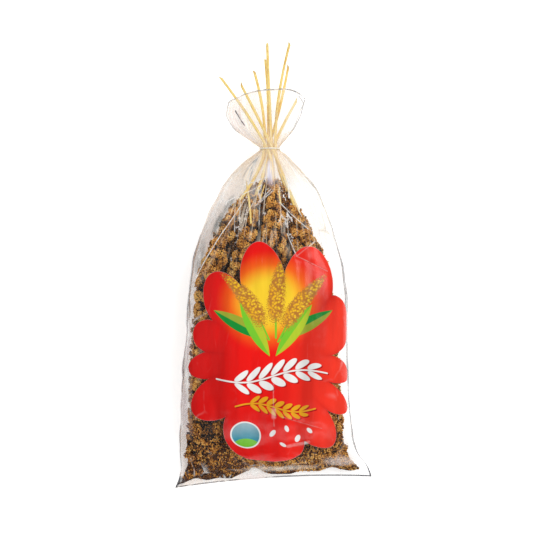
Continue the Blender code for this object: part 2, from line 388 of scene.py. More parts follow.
@dataclass
class Studio:
    """The pale floor, the soft lights and the camera, which looks straight down on the bag."""

    centre_x: float = -3.3 * MM
    centre_y: float = -3.3 * MM
    widest_z: float = 28 * MM
    frame_width: float = 513 * MM
    lens: float = 100.0
    sensor: float = 36.0
    floor_size: float = 6.0
    floor_drop: float = 0.4 * MM
    room_light: float = 0.5
    mirrored_light: float = 0.06
    floor_glow: float = 0.46

    def build(self) -> None:
        """Sets the stage."""
        bpy.context.scene.view_settings.view_transform = "Standard"
        self.floor()
        self.world()
        self.area("key", (0.7, 0.35, 1.05), (0.6, 0.6), 6.8, (1.0, 0.985, 0.96))
        self.area("fill", (-0.9, -0.1, 1.0), (0.8, 1.2), 0.8, (0.97, 0.98, 1.0))
        self.area("strip", (0.1, -0.95, 0.75), (1.2, 0.12), 2.4, (1.0, 1.0, 1.0))
        self.area("head_strip", (-0.25, 0.95, 0.8), (1.0, 0.12), 2.0, (1.0, 1.0, 1.0))
        self.camera()

    def floor(self) -> None:
        """Lays the plain pale floor, lit a little from below, just under the part."""
        deselect()
        bpy.ops.mesh.primitive_plane_add(size=self.floor_size, location=(0, 0, -self.floor_drop))
        plane = bpy.context.active_object
        plane.name = "floor"
        finish, sketch, shader = new_material("floor_paper")
        shader.wire({
            "Base Color": sketch.grey(sketch.toned(sketch.place(), 1.5, 40.0, 0.96, 0.975)),
            "Roughness": 0.85,
            "Emission Color": (1, 1, 1),
            "Emission Strength": self.floor_glow,
        })
        plane.data.materials.append(finish)

    def world(self) -> None:
        """Fills the room with even pale light, which shows dimmer where it is mirrored."""
        room = bpy.data.worlds.new("room")
        bpy.context.scene.world = room
        room.use_nodes = True
        sketch = NodeSketch(room.node_tree)
        mirrored = sketch.node("LightPath")["Is Glossy Ray"]
        strength = sketch.mix_value(mirrored, self.room_light, self.mirrored_light)
        Step(sketch, room.node_tree.nodes["Background"]).wire({"Color": (1, 1, 1), "Strength": strength})

    def area(
        self, name: str, place: Sequence[float], size: tuple[float, float], watts: float, colour: Colour,
    ) -> None:
        """Hangs a soft light that faces the bag.

        Args:
            name: the light's name.
            place: where it hangs.
            size: its width and height.
            watts: its power.
            colour: its colour.
        """
        lamp = bpy.data.lights.new(name, "AREA")
        lamp.shape = "RECTANGLE"
        lamp.size, lamp.size_y = size
        lamp.energy = watts
        lamp.color = colour
        holder = bpy.data.objects.new(name, lamp)
        holder.location = place
        holder.rotation_euler = (-Vector(place)).to_track_quat("-Z", "Y").to_euler()
        bpy.context.scene.collection.objects.link(holder)

    def camera(self) -> None:
        """Stands the camera over the bag, with the stems at the top of the picture."""
        eye = bpy.data.cameras.new("camera")
        eye.lens = self.lens
        eye.sensor_width = self.sensor
        holder = bpy.data.objects.new("camera", eye)
        distance = self.frame_width * self.lens / self.sensor
        holder.location = (self.centre_x, self.centre_y, self.widest_z + distance)
        bpy.context.scene.collection.objects.link(holder)
        bpy.context.scene.camera = holder


# Shapes


@dataclass
class Shape:
    """A small closed shape, kept as points and triangles, that is copied many times."""

    points: np.ndarray
    faces: np.ndarray


def taken_shape(item: bpy.types.Object) -> Shape:
    """Reads an object's mesh as triangles, and removes the object.

    Args:
        item: the object.

    Returns:
        The shape.
    """
    mesh = item.data
    mesh.calc_loop_triangles()
    points = np.empty(len(mesh.vertices) * 3)
    mesh.vertices.foreach_get("co", points)
    faces = np.array([tri.vertices for tri in mesh.loop_triangles])
    bpy.data.objects.remove(item, do_unlink=True)
    return Shape(points.reshape(-1, 3), faces)


def deselect() -> None:
    """Deselects everything, as an operator acts on all that is selected."""
    bpy.ops.object.select_all(action="DESELECT")


@contextmanager
def edit_mode() -> Iterator[None]:
    """Goes into edit mode with the whole mesh selected, and comes out of it again."""
    bpy.ops.object.mode_set(mode="EDIT")
    bpy.ops.mesh.select_all(action="SELECT")
    yield
    bpy.ops.object.mode_set(mode="OBJECT")


def modelled_seed(sides: int) -> Shape:
    """A seed one unit across: a plump grain with a blunt tip.

    Args:
        sides: how many sides it has.

    Returns:
        The seed's shape.
    """
    deselect()
    bpy.ops.mesh.primitive_uv_sphere_add(segments=sides, ring_count=2, radius=0.5)
    with edit_mode():
        bpy.ops.transform.resize(value=(1, 1, 0.92))
    return taken_shape(bpy.context.active_object)


def modelled_pad() -> Shape:
    """The inside of a lobe, one unit across, which its seeds cover, and which its tint paints dark as shade.

    Returns:
        The pad's shape.
    """
    deselect()
    bpy.ops.mesh.primitive_ico_sphere_add(subdivisions=1, radius=0.5)
    return taken_shape(bpy.context.active_object)


@dataclass
class SeedStock:
    """The shapes that heads and shed grain are made of, modelled once."""

    fine: Shape = field(default_factory=lambda: modelled_seed(6))
    plain: Shape = field(default_factory=lambda: modelled_seed(4))
    pad: Shape = field(default_factory=modelled_pad)


class Swarm:
    """Gathers copies of seeds inside the bag into the arrays of one mesh."""

    film_gap: float = 0.45
    most_pressed: float = 5.0
    width: float = 1.95 * MM
    length: float = 2.15 * MM
    pad_shade_tint: float = 0.17
    lobe_rise: float = 0.84
    reach_down: float = math.radians(84)

    def __init__(self, bag: FilmBag, stock: SeedStock, seed: int) -> None:
        """Starts empty.

        Args:
            bag: the film bag that has to hold the copies.
            stock: the shapes that are copied.
            seed: what its source of chance starts from.
        """
        self.bag = bag
        self.stock = stock
        self.draw = np.random.default_rng(seed)
        self.points: list[np.ndarray] = []
        self.faces: list[np.ndarray] = []
        self.tints: list[np.ndarray] = []
        self.count = 0

    def add(self, shape: Shape, frames: np.ndarray, places: np.ndarray, tints: np.ndarray) -> None:
        """Adds one copy of a shape for each place.

        Args:
            shape: what is copied.
            frames: each copy's axes with their lengths, as 3 by 3 matrices.
            places: each copy's middle.
            tints: each copy's tint, from 0 to 1.
        """
        points = np.einsum("nij,pj->npi", frames, shape.points) + places[:, None, :]
        points, tints = self.pressed(points, tints)
        steps = self.count + np.arange(len(points)) * len(shape.points)
        faces = shape.faces[None, :, :] + steps[:, None, None]
        self.points.append(points.reshape(-1, 3))
        self.faces.append(faces.reshape(-1, 3))
        self.tints.append(np.repeat(tints, len(shape.points)))
        self.count += len(points) * len(shape.points)

    def pressed(self, points: np.ndarray, tints: np.ndarray) -> tuple[np.ndarray, np.ndarray]:
        """Presses the copies that would stand out of the film's front down under it.

        Args:
            points: each copy's points.
            tints: each copy's tint.

        Returns:
            The points and the tints of the copies that the bag has room for.
        """
        low, high = self.bag.heights(points[:, :, 0] / MM, points[:, :, 1] / MM)
        over = np.max(points[:, :, 2] / MM - high, axis=1) + self.film_gap
        over = np.where(over < self.most_pressed, np.clip(over, 0, None), 0)
        points[:, :, 2] -= over[:, None] * MM
        fits = (over == 0) | (np.min(points[:, :, 2] / MM - low, axis=1) > 0)
        return points[fits], tints[fits]

    def scatter(self, shape: Shape, places: np.ndarray, normals: np.ndarray, tints: np.ndarray) -> None:
        """Adds seeds that stand on a surface, each a little turned and of its own size.

        Args:
            shape: the seed.
            places: their middles.
            normals: the way each points.
            tints: their tints.
        """
        count = len(places)
        leaned = unit(normals + self.draw.normal(0, 0.22, (count, 3)))
        frames = turned_frames(leaned, self.draw.uniform(0, 2 * np.pi, count))
        sizes = self.draw.uniform(0.85, 1.12, (count, 1)) * np.array([[self.width, self.width, self.length]])
        self.add(shape, frames * sizes[:, None, :], places, tints)

    def lobes(
        self, places: np.ndarray, normals: np.ndarray, radii: np.ndarray, proud: np.ndarray,
        lobe_tints: np.ndarray, pitches: np.ndarray, fine: np.ndarray,
    ) -> None:
        """Adds lobes, each a pad painted dark as shade under a dome of seeds.

        Args:
            places: where each lobe stands.
            normals: the way each faces.
            radii: each lobe's radius.
            proud: how far each stands out past its place.
            lobe_tints: each lobe's mean tint.
            pitches: how far apart each lobe's seeds lie, in seed widths.
            fine: which lobes have the finer seeds.
        """
        draw, stock = self.draw, self.stock
        leaned = unit(normals + draw.normal(0, 0.18, normals.shape))
        frames = turned_frames(leaned, draw.uniform(0, 2 * np.pi, len(places)))
        for index, radius in enumerate(radii):
            rise = radius * self.lobe_rise
            middle = places[index] - leaned[index] * (rise - proud[index])
            step = self.width * pitches[index]
            total = max(8, int(4 * math.pi * radius**2 / (0.866 * step**2)))
            rank = np.arange(total) + 0.25
            polar = np.arccos(1 - 2 * rank / total)
            keep = polar < self.reach_down
            polar, turn = polar[keep], (rank * math.pi * (1 + math.sqrt(5)))[keep]
            local = np.stack(
                [np.sin(polar) * np.cos(turn), np.sin(polar) * np.sin(turn), np.cos(polar)], axis=1
            )
            local += draw.normal(0, 0.06, local.shape)
            drawn_out = draw.uniform(0.86, 1.16)
            dome = np.array([radius * drawn_out, radius / drawn_out, rise]) - self.length * 0.35
            seats = middle + (local * dome) @ frames[index].T
            ways = unit((local / dome) @ frames[index].T)
            # Seeds are painted lighter at each lobe's top and darker towards its foot: painted light and
            # shade.
            fall = 1.1 - 0.55 * (polar / self.reach_down) ** 2
            tints = (lobe_tints[index] + draw.normal(0, 0.12, len(seats))) * fall
            seed = stock.fine if fine[index] else stock.plain
            self.scatter(seed, seats, ways, np.clip(tints, 0.16, 1))
            # The pad fills the lobe with painted shade: a dark shape that shows between its seeds.
            pad = frames[index] * (dome * (1.75 if fine[index] else 1.95))
            inner = stock.pad if fine[index] else stock.plain
            self.add(inner, pad[None], middle[None], np.array([self.pad_shade_tint]))

    def add_mesh(self, points: np.ndarray, faces: np.ndarray, tint: float) -> None:
        """Adds a mesh as it is, all in one tint.

        Args:
            points: its points.
            faces: its triangles.
            tint: the tint.
        """
        self.points.append(points)
        self.faces.append(faces + self.count)
        self.tints.append(np.full(len(points), tint))
        self.count += len(points)

    def finish(self, name: str) -> bpy.types.Object:
        """Makes the object.

        Args:
            name: the object's name.

        Returns:
            The object, shaded smooth, with its tints as an attribute.
        """
        points = np.concatenate(self.points)
        faces = np.concatenate(self.faces)
        mesh = bpy.data.meshes.new(name)
        mesh.vertices.add(len(points))
        mesh.vertices.foreach_set("co", points.ravel())
        mesh.loops.add(faces.size)
        mesh.loops.foreach_set("vertex_index", faces.ravel())
        mesh.polygons.add(len(faces))
        mesh.polygons.foreach_set("loop_start", np.arange(len(faces)) * 3)
        mesh.update(calc_edges=True)
        mesh.shade_smooth()
        tint = mesh.attributes.new("tint", "FLOAT", "POINT")
        tint.data.foreach_set("value", np.concatenate(self.tints))
        made = bpy.data.objects.new(name, mesh)
        bpy.context.scene.collection.objects.link(made)
        return made


def unit(ways: np.ndarray) -> np.ndarray:
    """Directions of length one, one a row."""
    return ways / np.linalg.norm(ways, axis=1, keepdims=True)


def travel(points: np.ndarray) -> np.ndarray:
    """How far along a line each of its points lies."""
    return np.concatenate([[0], np.cumsum(np.linalg.norm(np.diff(points, axis=0), axis=1))])


def turned_frames(normals: np.ndarray, spins: np.ndarray) -> np.ndarray:
    """Axes for copies whose Z lies along given directions.

    Args:
        normals: unit directions, one a row.
        spins: how far each copy is turned about its direction, in radians.

    Returns:
        One 3 by 3 matrix for each direction, with the axes as columns.
    """
    helper = np.where(np.abs(normals[:, :1]) < 0.8, [[1.0, 0, 0]], [[0, 1.0, 0]])
    side = unit(np.cross(normals, helper))
    other = np.cross(normals, side)
    cos, sin = np.cos(spins)[:, None], np.sin(spins)[:, None]
    return np.stack([side * cos + other * sin, other * cos - side * sin, normals], axis=2)


@contextmanager
def edited(item: bpy.types.Object) -> Iterator[bmesh.types.BMesh]:
    """Opens an object's mesh for editing, and puts it back.

    Args:
        item: the object.

    Yields:
        The mesh.
    """
    mesh = bmesh.new()
    mesh.from_mesh(item.data)
    yield mesh
    mesh.to_mesh(item.data)
    mesh.free()


def merged_copy(node: str) -> bmesh.types.BMesh:
    """A CAD node's mesh with its doubled points merged.

    Args:
        node: the node's name.

    Returns:
        The mesh, which the caller frees.
    """
    copy = bmesh.new()
    copy.from_mesh(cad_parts[node].data)
    bmesh.ops.remove_doubles(copy, verts=copy.verts, dist=WELD)
    copy.normal_update()
    return copy


def rolled_sheet(
    name: str, around: int, along: int, place: Placer, marks: dict[str, Placer] | None = None,
) -> bpy.types.Object:
    """Rolls a flat grid into a tube, which keeps the grid's own UV map.

    Args:
        name: the object's name.
        around: how many faces it has round.
        along: how many faces it has along.
        place: gives the points for shares of the way round and along, both from 0 to 1.
        marks: attributes to add, each with what gives its values for the same shares.

    Returns:
        The tube, open at both ends, with its faces outwards.
    """
    deselect()
    bpy.ops.mesh.primitive_grid_add(x_subdivisions=around, y_subdivisions=along, size=2)
    sheet = bpy.context.active_object
    sheet.name = name
    flat = np.empty(len(sheet.data.vertices) * 3)
    sheet.data.vertices.foreach_get("co", flat)
    shares = (flat.reshape(-1, 3)[:, :2] + 1) / 2
    sheet.data.vertices.foreach_set("co", place(shares[:, 0], shares[:, 1]).ravel())
    for label, values in (marks or {}).items():
        mark = sheet.data.attributes.new(label, "FLOAT", "POINT")
        mark.data.foreach_set("value", values(shares[:, 0], shares[:, 1]))
    with edit_mode():
        bpy.ops.mesh.remove_doubles(threshold=WELD)
    sheet.data.shade_smooth()
    return sheet


def settle(item: bpy.types.Object, finish: bpy.types.Material, slot: str, *nodes: str) -> None:
    """Gives a finished piece its material, hangs it under the body, and hides the CAD nodes that it stands
    for.

    Args:
        item: the piece.
        finish: its material.
        slot: not used.
        nodes: the CAD nodes that it stands for.
    """
    item.data.materials.clear()
    item.data.materials.append(finish)
    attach(item, BODY)
    if nodes:
        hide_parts(*nodes)
    log.info("%s: %d faces", item.name, len(item.data.polygons))


# The heads


@dataclass(frozen=True)
class Patch:
    """An oval part of the bag as seen from above: its middle and its half sizes."""

    x: float
    y: float
    half_x: float
    half_y: float

    def holds(self, x: Any, y: Any) -> Any:
        """Whether points lie inside, for numbers and for arrays."""
        return ((x - self.x) / self.half_x) ** 2 + ((y - self.y) / self.half_y) ** 2 < 1


PRINTED_AREA = Patch(0.0, -80 * MM, 56 * MM, 80 * MM)
# Where the lobes and loose grain are left out, so that the core, painted dark as shade, shows as a dark
# hole.
DARK_POCKET = Patch(-62 * MM, -150 * MM, 8 * MM, 15 * MM)


class Rank(Enum):
    """Which layer of heads a head lies in."""

    FRONT = "front"
    BACK = "back"


@dataclass(frozen=True)
class MilletFinish:
    """Dry millet seed: golden brown, each seed and each lobe in its own tone, with painted shade dark down
    between them.
    """

    deep: Colour = (0.012, 0.007, 0.005)
    shaded: Colour = (0.3, 0.115, 0.02)
    umber: Colour = (0.09, 0.028, 0.006)
    brown: Colour = (0.33, 0.115, 0.016)
    golden: Colour = (0.7, 0.32, 0.055)
    pale: Colour = (0.93, 0.58, 0.17)
    roughness: float = 0.55
    specular: float = 0.18
    core_seed: float = 2.1 * MM

    def material(self) -> bpy.types.Material:
        """Makes the material.

        Returns:
            The material, which reads each seed's tint.
        """
        finish, sketch, shader = new_material("millet_seed")
        tint = sketch.mark("tint")
        # Low tints are painted shade: near black to umber for the core, the lobes' pads and the bed.
        husk = sketch.ramp(tint, (
            (0.0, self.deep), (0.1, self.deep), (0.2, self.umber), (0.38, self.brown), (0.62, self.golden),
            (1.0, self.pale),
        ))
        place = sketch.place()
        # The core is painted as seed in shade: cells in the shaded brown, near black between them.
        cells = sketch.node("TexVoronoi", {"Vector": place, "Scale": 1 / self.core_seed})
        round_seed = cells["Distance"].remap(0.56, 0.2)
        in_core = tint.remap(0.02, 0.05, 1, 0)
        husk = sketch.blend(in_core, husk, sketch.blend(round_seed, self.deep, self.shaded))
        tone = sketch.grey(sketch.toned(place, 38.0, 620.0, 0.75, 1.15))
        ribs = (round_seed * in_core).scaled(4.0, sketch.noise(place, 1500.0, 2))
        shader.wire({
            "Base Color": sketch.blend(1.0, husk, tone, "MULTIPLY"),
            "Roughness": tint.remap(0, 1, 0.8, self.roughness),
            "Specular IOR Level": self.specular,
            "Normal": sketch.bump(ribs, 0.25, 0.0003),
        })
        return finish


@dataclass
class MilletHead:
    """One head: a core painted dark as shade, with lobes of seed that stand out of it, near the crests of
    its solid.
    """

    node: str
    number: int
    rank: Rank
    core_inset: float = 1.6 * MM
    end_share: float = 0.1
    crest_height: float = 0.15 * MM
    spacing: float = 7.0 * MM
    drift: float = 1.0 * MM
    lobe_fill: float = 0.575
    least_radius: float = 2.4 * MM
    lobe_proud: float = 0.55 * MM
    lobe_sunk: float = 1.3 * MM
    tip_sunk: float = 1.4 * MM
    tip_y: float = -162 * MM
    bare_share: float = 0.02
    under_sunk: float = 3.0 * MM
    under_radius: float = 3.2 * MM
    lobe_tint: float = 0.66
    valley_shade_tint: float = 0.42
    turned_away: float = 0.25
    pitch: float = 1.06
    back_pitch: float = 1.42
    under_pitch: float = 1.4
    hidden_pitch: float = 2.6
    covered_pitch: float = 2.2
    sprig_count: int = 9

    def build(self, bag: FilmBag, stock: SeedStock, finish: bpy.types.Material) -> None:
        """Models the head in its solid's place.

        Args:
            bag: the film bag that it lies in.
            stock: the seeds.
            finish: the head's material.
        """
        self.swarm = Swarm(bag, stock, self.number)
        self.draw = self.swarm.draw
        solid = merged_copy(self.node)
        crests, valleys = self.crests_and_valleys(solid)
        # The core takes tint 0, which the material paints dark as shade.
        self.swarm.add_mesh(*self.core(solid), 0.0)
        solid.free()
        self.outer_lobes(*self.spread_out(*crests))
        self.inner_lobes(*self.spread_out(*valleys))
        settle(self.swarm.finish(f"millet_{self.node}"), finish, "millet", self.node)

    def outer_lobes(self, places: np.ndarray, normals: np.ndarray) -> None:
        """Sets the lobes that the head shows.

        Args:
            places: where they stand.
            normals: the way each faces.
        """
        draw = self.draw
        radii = self.lobe_radii(places)
        places, normals, radii = self.with_sprigs(places, normals, radii)
        shown = ~DARK_POCKET.holds(places[:, 0], places[:, 1]) | (normals[:, 2] < 0)
        places, normals, radii = places[shown], normals[shown], radii[shown]
        outer = self.outward(normals)
        front = self.rank is Rank.FRONT
        pitches = np.where(outer, self.pitch if front else self.back_pitch, self.hidden_pitch)
        printed = self.under_print(places)
        pitches = np.where(printed & outer, self.covered_pitch, pitches)
        proud = draw.uniform(-self.lobe_sunk, self.lobe_proud, len(places))
        proud = proud - self.tip_sunk * (places[:, 1] < self.tip_y)
        tints = draw.normal(self.lobe_tint, 0.12, len(places))
        self.swarm.lobes(places, normals, radii, proud, tints, pitches, outer & front & ~printed)

    def inner_lobes(self, places: np.ndarray, normals: np.ndarray) -> None:
        """Sets smaller lobes in the valleys between the others, painted darker as shade.

        Args:
            places: where they stand.
            normals: the way each faces.
        """
        shown = self.outward(normals) & ~self.under_print(places)
        places, normals = places[shown], normals[shown]
        count = len(places)
        radii, pitches = np.full(count, self.under_radius), np.full(count, self.under_pitch)
        proud = self.draw.uniform(-0.6, 0.2, count) * self.under_sunk
        # Their lower tint is painted shade in the valleys.
        tints = self.draw.normal(self.valley_shade_tint, 0.06, count)
        self.swarm.lobes(places, normals, radii, proud, tints, pitches, np.zeros(count, bool))

    def crests_and_valleys(self, solid: bmesh.types.BMesh) -> list[tuple[np.ndarray, np.ndarray]]:
        """Finds the crests and the valleys of the head's solid.

        Args:
            solid: the head's solid, merged.

        Returns:
            The crests' places with the way each faces, and the valleys'.
        """
        base_y = max(point.co.y for point in solid.verts)
        found: list[list[tuple[Any, Any]]] = [[], []]
        for point in solid.verts:
            ring = [edge.other_vert(point).co for edge in point.link_edges]
            middle = sum(ring, Vector()) / len(ring)
            height = (point.co - middle).dot(point.normal)
            if abs(height) > self.crest_height and point.co.y < base_y:
                found[0 if height > 0 else 1].append((point.co[:], point.normal[:]))
        return [tuple(np.array(column) for column in zip(*pairs)) for pairs in found]

    def spread_out(self, places: np.ndarray, normals: np.ndarray) -> tuple[np.ndarray, np.ndarray]:
        """Moves places a little from their rows, and thins them out where the head is slender.

        Args:
            places: the places.
            normals: the way each faces.

        Returns:
            The places that are kept, with the way each faces.
        """
        shift = self.draw.normal(0, self.drift, places.shape)
        shift -= np.sum(shift * normals, axis=1, keepdims=True) * normals
        moved = places + shift
        kept: list[int] = []
        for index in self.draw.permutation(len(moved)):
            gaps = np.linalg.norm(moved[kept] - moved[index], axis=1)
            if not len(gaps) or gaps.min() > self.spacing:
                kept.append(index)
        kept = kept[int(len(kept) * self.bare_share):]
        return moved[kept], normals[kept]

    def core(self, solid: bmesh.types.BMesh) -> tuple[np.ndarray, np.ndarray]:
        """The head's core, its solid drawn in, which its tint of 0 paints dark as shade.

        Args:
            solid: the head's solid, merged.

        Returns:
            The core's points and triangles.
        """
        solid.verts.ensure_lookup_table()
        rows = np.array([point.co[:] for point in solid.verts])
        ways = np.array([point.normal[:] for point in solid.verts])
        inset = rows - ways * self.core_inset
        for end_y in (rows[:, 1].max(), rows[:, 1].min()):
            rim = np.abs(rows[:, 1] - end_y) < WELD
            inset[rim] = rows[rim].mean(axis=0) + (rows[rim] - rows[rim].mean(axis=0)) * self.end_share
        faces = np.array([[corner.index for corner in face.verts] for face in solid.faces])
        return inset, faces

    def outward(self, normals: np.ndarray) -> np.ndarray:
        """Which directions face out of the bag, not to the other layer of heads."""
        side = 1 if self.rank is Rank.FRONT else -1
        return normals[:, 2] * side > -self.turned_away

    def under_print(self, places: np.ndarray) -> np.ndarray:
        """Which places the film's print covers, which are in the front layer alone."""
        return PRINTED_AREA.holds(places[:, 0], places[:, 1]) & (self.rank is Rank.FRONT)

    def lobe_radii(self, places: np.ndarray) -> np.ndarray:
        """Each lobe's radius, from how far its nearest neighbours are.

        Args:
            places: the lobes' places.

        Returns:
            The radii.
        """
        tree = KDTree(len(places))
        for index, place in enumerate(places):
            tree.insert(place, index)
        tree.balance()
        gaps = np.array([np.mean([found[2] for found in tree.find_n(place, 4)[1:]]) for place in places])
        fills = self.lobe_fill * gaps * self.draw.uniform(0.84, 1.14, len(places))
        return np.maximum(fills, self.least_radius)

    def with_sprigs(
        self, places: np.ndarray, normals: np.ndarray, radii: np.ndarray,
    ) -> tuple[np.ndarray, np.ndarray, np.ndarray]:
        """Adds small loose sprigs round the head's neck, where it thins out into its stem.

        Args:
            places: the lobes' places.
            normals: the way each faces.
            radii: their radii.

        Returns:
            The same three lists with the sprigs.
        """
        draw, count = self.draw, self.sprig_count
        order = np.argsort(places[:, 1])[-count:]
        centre = places[order].mean(axis=0)
        ways = unit(normals[order] * np.array([1, 0.2, 1]) + np.array([0, draw.uniform(0.2, 0.5), 0]))
        reach = draw.uniform(2.5, 6.0, (count, 1)) * MM
        rise = np.zeros((count, 3))
        rise[:, 1] = draw.uniform(1.0, 8.0, count) * MM
        sprigs = (places[order] + centre) / 2 + normals[order] * np.array([1, 0, 1]) * reach * 0.4 + rise
        sizes = draw.uniform(1.5, 2.3, count) * MM
        return np.vstack([places, sprigs]), np.vstack([normals, ways]), np.concatenate([radii, sizes])


# The stems


@dataclass(frozen=True)
class StrawFinish:
    """Dry straw: glossy yellow with fine lengthwise streaks, browner in places, with painted shade in brown
    down one side of each stem.
    """

    yellow: Colour = (0.95, 0.63, 0.12)
    pale: Colour = (1.0, 0.86, 0.36)
    brown: Colour = (0.55, 0.24, 0.04)
    roughness: float = 0.38
    shaded_side: float = 0.55
    length: float = 0.14
    girth: float = 0.0095

    def material(self) -> bpy.types.Material:
        """Makes the material.

        Returns:
            The material, which follows the stem by its UV map.
        """
        finish, sketch, shader = new_material("straw")
        sheet = sketch.sheet()
        streaked = sketch.vector_maths("MULTIPLY", sheet, (self.girth, self.length * 0.06, 1))
        fibre = sketch.noise(streaked, 2600.0, 3)
        tone = sketch.toned(sketch.place(), 45.0, 300.0, 0.0, 1.0)
        straw = sketch.blend(fibre.remap(0.35, 0.65), self.yellow, self.pale)
        # The brown down one side of each stem, by the way round it, is painted shade.
        side = (sketch.parts(sheet)[0] * (2 * math.pi)).cosine().remap(0.35, 0.95, 0, self.shaded_side)
        stained = sketch.maths("MULTIPLY", tone.remap(0.45, 1, 0, 1.1), fibre, clamp=True)
        shader.wire({
            "Base Color": sketch.blend(stained.most(side), straw, self.brown),
            "Roughness": self.roughness,
            "Normal": sketch.bump(fibre, 0.35, 0.0003),
        })
        return finish


@dataclass
class StrawStem:
    """One stem: a ribbed straw on its solid's line, with a slanted, hollowed cut at its free end."""

    node: str
    around: int = 14
    along: int = 64
    ribs: int = 7
    rib_depth: float = 0.06
    slant: float = 1.5
    pith_depth: float = 0.7 * MM
    reach_in: float = 9 * MM
    between_rings: float = 2.5 * MM

    def build(self, finish: bpy.types.Material) -> None:
        """Models the stem in its solid's place.

        Args:
            finish: the stem's material.
        """
        self.line, self.radii = self.centre_line()
        self.slant_turn = random.Random(self.node).uniform(0, 2 * math.pi)
        made = rolled_sheet(f"straw_{self.node}", self.around, self.along, self.place)
        self.close_ends(made)
        settle(made, finish, "straw", self.node)

    def centre_line(self) -> tuple[np.ndarray, np.ndarray]:
        """Reads the stem's line from its solid, whose rings lie well apart along Y.

        Returns:
            The rings' middles, from the head to the free end, and their radii.
        """
        solid = merged_copy(self.node)
        points = sorted((tuple(point.co) for point in solid.verts), key=lambda co: co[1])
        solid.free()
        rings: list[list[tuple[float, float, float]]] = [[points[0]]]
        for point in points[1:]:
            if point[1] - rings[-1][-1][1] > self.between_rings:
                rings.append([])
            rings[-1].append(point)
        middles = np.array([np.mean(ring, axis=0) for ring in rings])
        radii = [np.linalg.norm(np.array(ring) - np.mean(ring, axis=0), axis=1).max() for ring in rings]
        way = (middles[0] - middles[1]) / np.linalg.norm(middles[0] - middles[1])
        middles = np.vstack([middles[0] + way * self.reach_in, middles])
        return middles, np.array([radii[0] * 0.8, *radii])

    def place(self, round_share: np.ndarray, along_share: np.ndarray) -> np.ndarray:
        """The stem's surface.

        Args:
            round_share: shares of the way round.
            along_share: shares of the way from the head to the free end.

        Returns:
            The points.
        """
        travelled = travel(self.line)
        reach = travelled[-1]
        at = along_share * reach
        ahead = smooth_path(self.line, travelled, np.minimum(at + 0.5 * MM, reach))
        behind = smooth_path(self.line, travelled, np.maximum(at - 0.5 * MM, 0))
        way = unit(ahead - behind)
        side = unit(np.cross(way, [[0, 0, 1.0]]))
        rise = np.cross(side, way)
        turn = 2 * np.pi * round_share
        radius = np.interp(at, travelled, self.radii)
        ribbed = radius * (1 - self.rib_depth * (1 + np.cos(self.ribs * turn)) / 2)
        ribbed *= 1 - 0.05 * np.sin(at / (9 * MM) + self.slant_turn)
        ring = side * np.cos(turn)[:, None] + rise * np.sin(turn)[:, None]
        slant = self.slant * np.cos(turn - self.slant_turn) - self.slant
        nearness = np.clip(1 - (reach - at) / (5 * MM), 0, 1)
        centre = smooth_path(self.line, travelled, at)
        return centre + ring * ribbed[:, None] + way * (slant * radius * nearness)[:, None]

    def close_ends(self, item: bpy.types.Object) -> None:
        """Fills both ends, and sinks the pith at the free one.

        Args:
            item: the open tube.
        """
        with edited(item) as mesh:
            loops = [edge for edge in mesh.edges if edge.is_boundary]
            caps = bmesh.ops.holes_fill(mesh, edges=loops, sides=0)["faces"]
            far = max(caps, key=lambda face: face.calc_center_median().y)
            bmesh.ops.recalc_face_normals(mesh, faces=mesh.faces)
            inward = -far.normal.copy()
            bmesh.ops.inset_region(mesh, faces=[far], thickness=0.35 * MM)
            bmesh.ops.translate(mesh, verts=far.verts, vec=inward * self.pith_depth)


def smooth_path(points: np.ndarray, travelled: np.ndarray, at: np.ndarray) -> np.ndarray:
    """Points on a smooth curve through others.

    Args:
        points: the points that it passes.
        travelled: how far along each of them lies.
        at: how far along the points that are wanted lie.

    Returns:
        The points.
    """
    last = len(points) - 2
    index = np.clip(np.searchsorted(travelled, at, side="right") - 1, 0, last)
    slopes = np.gradient(points, travelled, axis=0)
    span = (travelled[index + 1] - travelled[index])[:, None]
    share = (at - travelled[index])[:, None] / span
    square, cube = share**2, share**3
    return (
        points[index] * (2 * cube - 3 * square + 1)
        + slopes[index] * span * (cube - 2 * square + share)
        + points[index + 1] * (3 * square - 2 * cube)
        + slopes[index + 1] * span * (cube - square)
    )


@dataclass(frozen=True)
class Stretch:
    """A straight stretch from one point to another as seen from above, in millimetres."""

    start_x: float
    start_y: float
    end_x: float
    end_y: float


@dataclass(frozen=True)
class LooseStraw(Stretch):
    """A broken straw that lies on the millet."""

    radius: float


LOOSE_STRAWS = (
    LooseStraw(-25.7, 81, -21.4, 40, 1),
    LooseStraw(5, 92, 25.2, 50, 0.8),
    LooseStraw(-9, 77.4, -11.5, 63, 0.7),
    LooseStraw(5.2, 74.6, 7.6, 58, 0.7),
)


